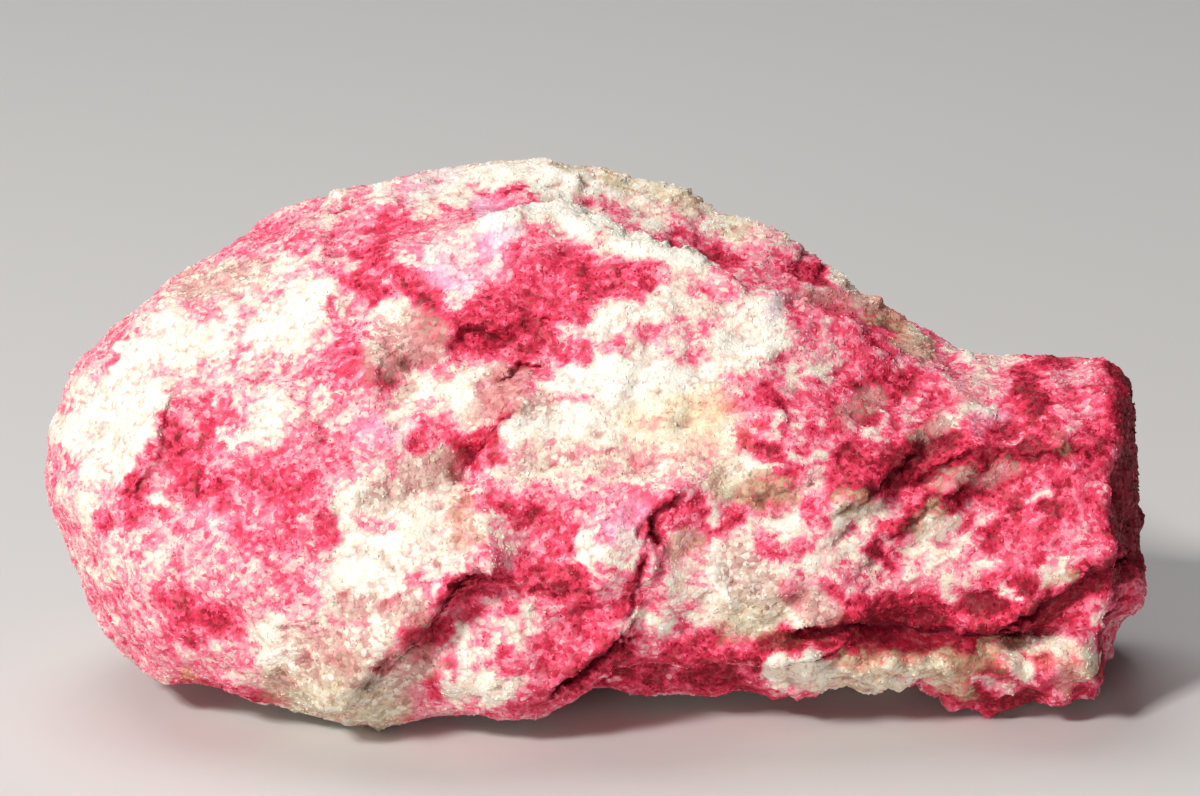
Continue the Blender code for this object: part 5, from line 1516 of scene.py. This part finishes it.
@dataclass(frozen=True)
class RockFinish:
    """The finish of broken thulite rock, grain by grain."""

    name: str
    by_crystal: bool
    roughness: tuple[float, float] = (0.42, 0.78)
    grain_size: float = 0.3
    grain_contrast: float = 0.34
    knot_size: float = 0.62
    knot_contrast: float = 0.12
    clump_size: float = 1.1
    clump_contrast: float = 0.5
    speck_size: float = 0.28
    speck_contrast: float = 0.5
    fine_size: float = 0.17
    streak: float = 1.4
    streak_rise: float = math.radians(25.0)
    cell_height: float = 0.45
    fine_height: float = 1.6
    # Painted shade between grains: the colour that the edges of the grain cells are darkened to.
    gap: Colour = (0.44, 0.12, 0.12)
    gap_shade_share: float = 0.45
    shadow: Colour = (0.22, 0.01, 0.03)
    shadow_share: float = 0.4
    # Painted shade: the colour that the cracks at the foot of the steps are darkened to.
    shaded_crack: Colour = (0.20, 0.008, 0.025)
    bump: float = 0.07
    tones: tuple[tuple[float, Colour], ...] = (
        (0.0, (0.90, 0.86, 0.77)),
        (0.14, (0.87, 0.76, 0.60)),
        (0.27, (0.88, 0.56, 0.53)),
        (0.42, (0.89, 0.29, 0.39)),
        (0.59, (0.85, 0.095, 0.19)),
        (0.77, (0.66, 0.025, 0.075)),
        # The last stop is the deepest crimson, which the D patches paint as shade.
        (1.0, (0.25, 0.004, 0.018)),
    )
    quartz: Colour = (0.68, 0.47, 0.40)
    quartz_dark: Colour = (0.38, 0.20, 0.16)
    olive: Colour = (0.74, 0.65, 0.43)
    olive_dark: Colour = (0.38, 0.28, 0.15)
    ochre: Colour = (0.84, 0.66, 0.33)
    violet: Colour = (0.88, 0.52, 0.76)

    def material(self) -> bpy.types.Material:
        """Builds the material.

        Returns:
            A material that reads the stone's mineral attributes.
        """
        made = bpy.data.materials.new(self.name)
        made.use_nodes = True
        made.node_tree.nodes.clear()
        sheet = TreeSheet(made.node_tree)
        place = sheet.add("ShaderNodeTexCoord").outputs["Object"]
        cells = sheet.add(
            "ShaderNodeTexVoronoi",
            {"feature": "F1"},
            Vector=place,
            Scale=1 / (self.grain_size * MM),
        )
        parts = sheet.add("ShaderNodeSeparateColor", Color=cells.outputs["Color"]).outputs
        cell = [Wire(sheet, parts[n]) for n in ("Red", "Green", "Blue")]
        grain = self.read(sheet, "grain") if self.by_crystal else cell[0]
        knots = sheet.add(
            "ShaderNodeTexVoronoi", {"feature": "F1"}, Vector=place, Scale=1 / (self.knot_size * MM)
        )
        knot = Wire(
            sheet, sheet.add("ShaderNodeSeparateColor", Color=knots.outputs["Color"]).outputs["Red"]
        )
        streaked = sheet.add(
            "ShaderNodeMapping",
            {"vector_type": "TEXTURE"},
            Vector=place,
            Rotation=(0.0, -self.streak_rise, 0.0),
            Scale=(self.streak, 1.0, 1.0),
        ).outputs["Vector"]
        clump = self.noise(sheet, streaked, self.clump_size)
        tone = self.read(sheet, "tone")
        crevice = self.read(sheet, "crevice")
        speck = self.noise(sheet, streaked, self.speck_size)
        varied = tone + (grain - 0.5) * self.grain_contrast + (knot - 0.5) * self.knot_contrast
        varied = varied + (clump - 0.5) * self.clump_contrast
        # Painted light and shade: proud places turn paler, and sunk ones redder.
        varied = varied + (speck - 0.5) * self.speck_contrast + crevice * 0.1
        colour = sheet.add(
            "ShaderNodeValToRGB", {"stops": self.tones}, Fac=varied
        ).outputs["Color"]
        for name, other in (("violet", self.violet), ("ochre", self.ochre)):
            share = (self.read(sheet, name) + (clump - 0.5)).step(0.1, 1.2) * 0.6
            colour = self.mix(sheet, share, colour, other)
        for name, pale, dark in (
            ("olive", self.olive, self.olive_dark),
            ("quartz", self.quartz, self.quartz_dark),
        ):
            share = self.read(sheet, name) * (grain * 1.2 + speck * 1.5 - 0.35)
            other = self.mix(sheet, cell[2], pale, dark)
            colour = self.mix(sheet, share.step(0.1, 0.9) * 0.7, colour, other)
        distance = Wire(sheet, cells.outputs["Distance"])
        # Painted shade between grains, at the edges of the grain cells, where the clump noise is
        # high.
        gap = distance.step(0.5, 0.85) * (clump.step(0.35, 0.6) * self.gap_shade_share)
        colour = self.mix(sheet, gap, colour, self.gap)
        shadow = crevice.step(0.25, 1.0) * self.shadow_share
        colour = self.mix(sheet, shadow, colour, self.shadow)
        # Painted shade in the cracks at the foot of the steps, stronger on red rock.
        shaded_crack = self.read(sheet, "shaded_crack") * (clump * 0.8 + 0.3) * (tone * 0.9 + 0.25)
        colour = self.mix(sheet, shaded_crack, colour, self.shaded_crack)
        low, high = self.roughness
        rough = cell[1] * (high - low) + low
        height = distance * -self.cell_height + cell[2] * self.cell_height
        height = height + self.noise(sheet, place, self.fine_size) * self.fine_height
        bump = sheet.add(
            "ShaderNodeBump", Strength=0.6, Distance=self.bump * MM, Height=height
        ).outputs["Normal"]
        shader = sheet.add(
            "ShaderNodeBsdfPrincipled",
            Base_Color=colour,
            Roughness=rough,
            IOR=1.5,
            Specular_IOR_Level=0.22,
            Normal=bump,
        )
        sheet.add("ShaderNodeOutputMaterial", Surface=shader.outputs["BSDF"])
        return made

    @staticmethod
    def noise(sheet: TreeSheet, place: Any, size: float) -> Wire:
        """Adds noise.

        Args:
            sheet: where its node goes.
            place: the coordinates that it reads.
            size: its wavelength, in millimetres.

        Returns:
            A value from about 0.2 to 0.8.
        """
        node = sheet.add(
            "ShaderNodeTexNoise", Vector=place, Scale=1 / (size * MM), Detail=3.0, Roughness=0.6
        )
        return Wire(sheet, node.outputs[0])

    @staticmethod
    def read(sheet: TreeSheet, name: str) -> Wire:
        """Reads one of the stone's attributes."""
        node = sheet.add("ShaderNodeAttribute", {"attribute_name": name})
        return Wire(sheet, node.outputs["Fac"])

    @staticmethod
    def mix(sheet: TreeSheet, share: Wire, first: Any, second: Any) -> bpy.types.NodeSocket:
        """Mixes two colours.

        Args:
            sheet: where the node goes.
            share: how much of the second.
            first: a colour or its socket.
            second: a colour or its socket.

        Returns:
            The mixed colour's socket.
        """
        first, second = ((*one, 1.0) if isinstance(one, tuple) else one for one in (first, second))
        node = sheet.add(
            "ShaderNodeMix",
            {"data_type": "RGBA"},
            Factor_Float=share,
            A_Color=first,
            B_Color=second,
        )
        return TreeSheet.socket(node.outputs, "Result_Color")


# ---------------------------------------------------------------- floor, lights and camera


@dataclass(frozen=True)
class Lamp:
    """A soft square light, aimed at the stone."""

    name: str
    place: tuple[float, float, float]
    size: float
    power: float
    colour: Colour = (1.0, 1.0, 1.0)


@dataclass(frozen=True)
class Studio:
    """A plain pale floor, soft lights and the camera."""

    view: FrontView = field(default_factory=FrontView)
    middle: tuple[float, float, float] = (0.0, 0.0, 13.0)
    floor_size: float = 6000.0
    floor_colour: Colour = (0.66, 0.65, 0.64)
    surround: Colour = (0.62, 0.62, 0.63)
    surround_strength: float = 0.13
    lamps: tuple[Lamp, ...] = (
        Lamp("key", (-235.0, -310.0, 330.0), 75.0, 2.15, (1.0, 0.97, 0.94)),
        Lamp("fill", (-150.0, -440.0, 50.0), 200.0, 0.9, (1.0, 0.97, 0.93)),
        Lamp("top", (-120.0, 200.0, 640.0), 420.0, 1.9),
    )

    def build(self) -> None:
        """Adds the floor, the surround, the lights and the camera."""
        self.floor()
        self.world()
        for lamp in self.lamps:
            self.lamp(lamp)
        self.camera()
        bpy.context.scene.view_settings.view_transform = "Standard"

    def floor(self) -> None:
        """Lays the floor."""
        half = self.floor_size / 2 * MM
        mesh = bpy.data.meshes.new("floor")
        corners = [(-half, -half, 0), (half, -half, 0), (half, half, 0), (-half, half, 0)]
        mesh.from_pydata(corners, [], [(0, 1, 2, 3)])
        material = bpy.data.materials.new("floor_matt")
        material.use_nodes = True
        shader = material.node_tree.nodes["Principled BSDF"]
        shader.inputs["Base Color"].default_value = (*self.floor_colour, 1.0)
        shader.inputs["Roughness"].default_value = 0.85
        mesh.materials.append(material)
        new_object("floor", mesh)

    def world(self) -> None:
        """Sets the pale surround."""
        world = bpy.data.worlds.new("surround")
        world.use_nodes = True
        light = world.node_tree.nodes["Background"]
        light.inputs["Color"].default_value = (*self.surround, 1.0)
        light.inputs["Strength"].default_value = self.surround_strength
        bpy.context.scene.world = world

    def lamp(self, lamp: Lamp) -> None:
        """Adds a light, aimed at the middle of the stone."""
        light = bpy.data.lights.new(lamp.name, "AREA")
        light.size = lamp.size * MM
        light.energy = lamp.power
        light.color = lamp.colour
        made = bpy.data.objects.new(lamp.name, light)
        bpy.context.scene.collection.objects.link(made)
        made.location = Vector(lamp.place) * MM
        aim = Vector(self.middle) - Vector(lamp.place)
        made.rotation_euler = aim.to_track_quat("-Z", "Y").to_euler()

    def camera(self) -> None:
        """Adds the camera at the front view."""
        lens = bpy.data.cameras.new("front")
        lens.sensor_width = self.view.sensor
        lens.lens = self.view.lens
        lens.clip_start = MM
        lens.clip_end = 20.0
        camera = bpy.data.objects.new("front", lens)
        bpy.context.scene.collection.objects.link(camera)
        camera.location = Vector(self.view.eye) * MM
        camera.rotation_euler = Vector(self.view.forward).to_track_quat("-Z", "Y").to_euler()
        bpy.context.scene.camera = camera


def main() -> None:
    """Builds the stone, its crusts and the studio, and notes the sizes."""
    logging.basicConfig(level=logging.INFO, format="%(name)s: %(message)s")
    stone = BrokenStone().build(RockFinish("thulite_rock", by_crystal=False).material())
    grains = RockFinish("thulite_grains", by_crystal=True, bump=0.03).material()
    for crust in CRUSTS:
        crust.build(stone, grains)
    Studio().build()


if __name__ == "__main__":
    main()
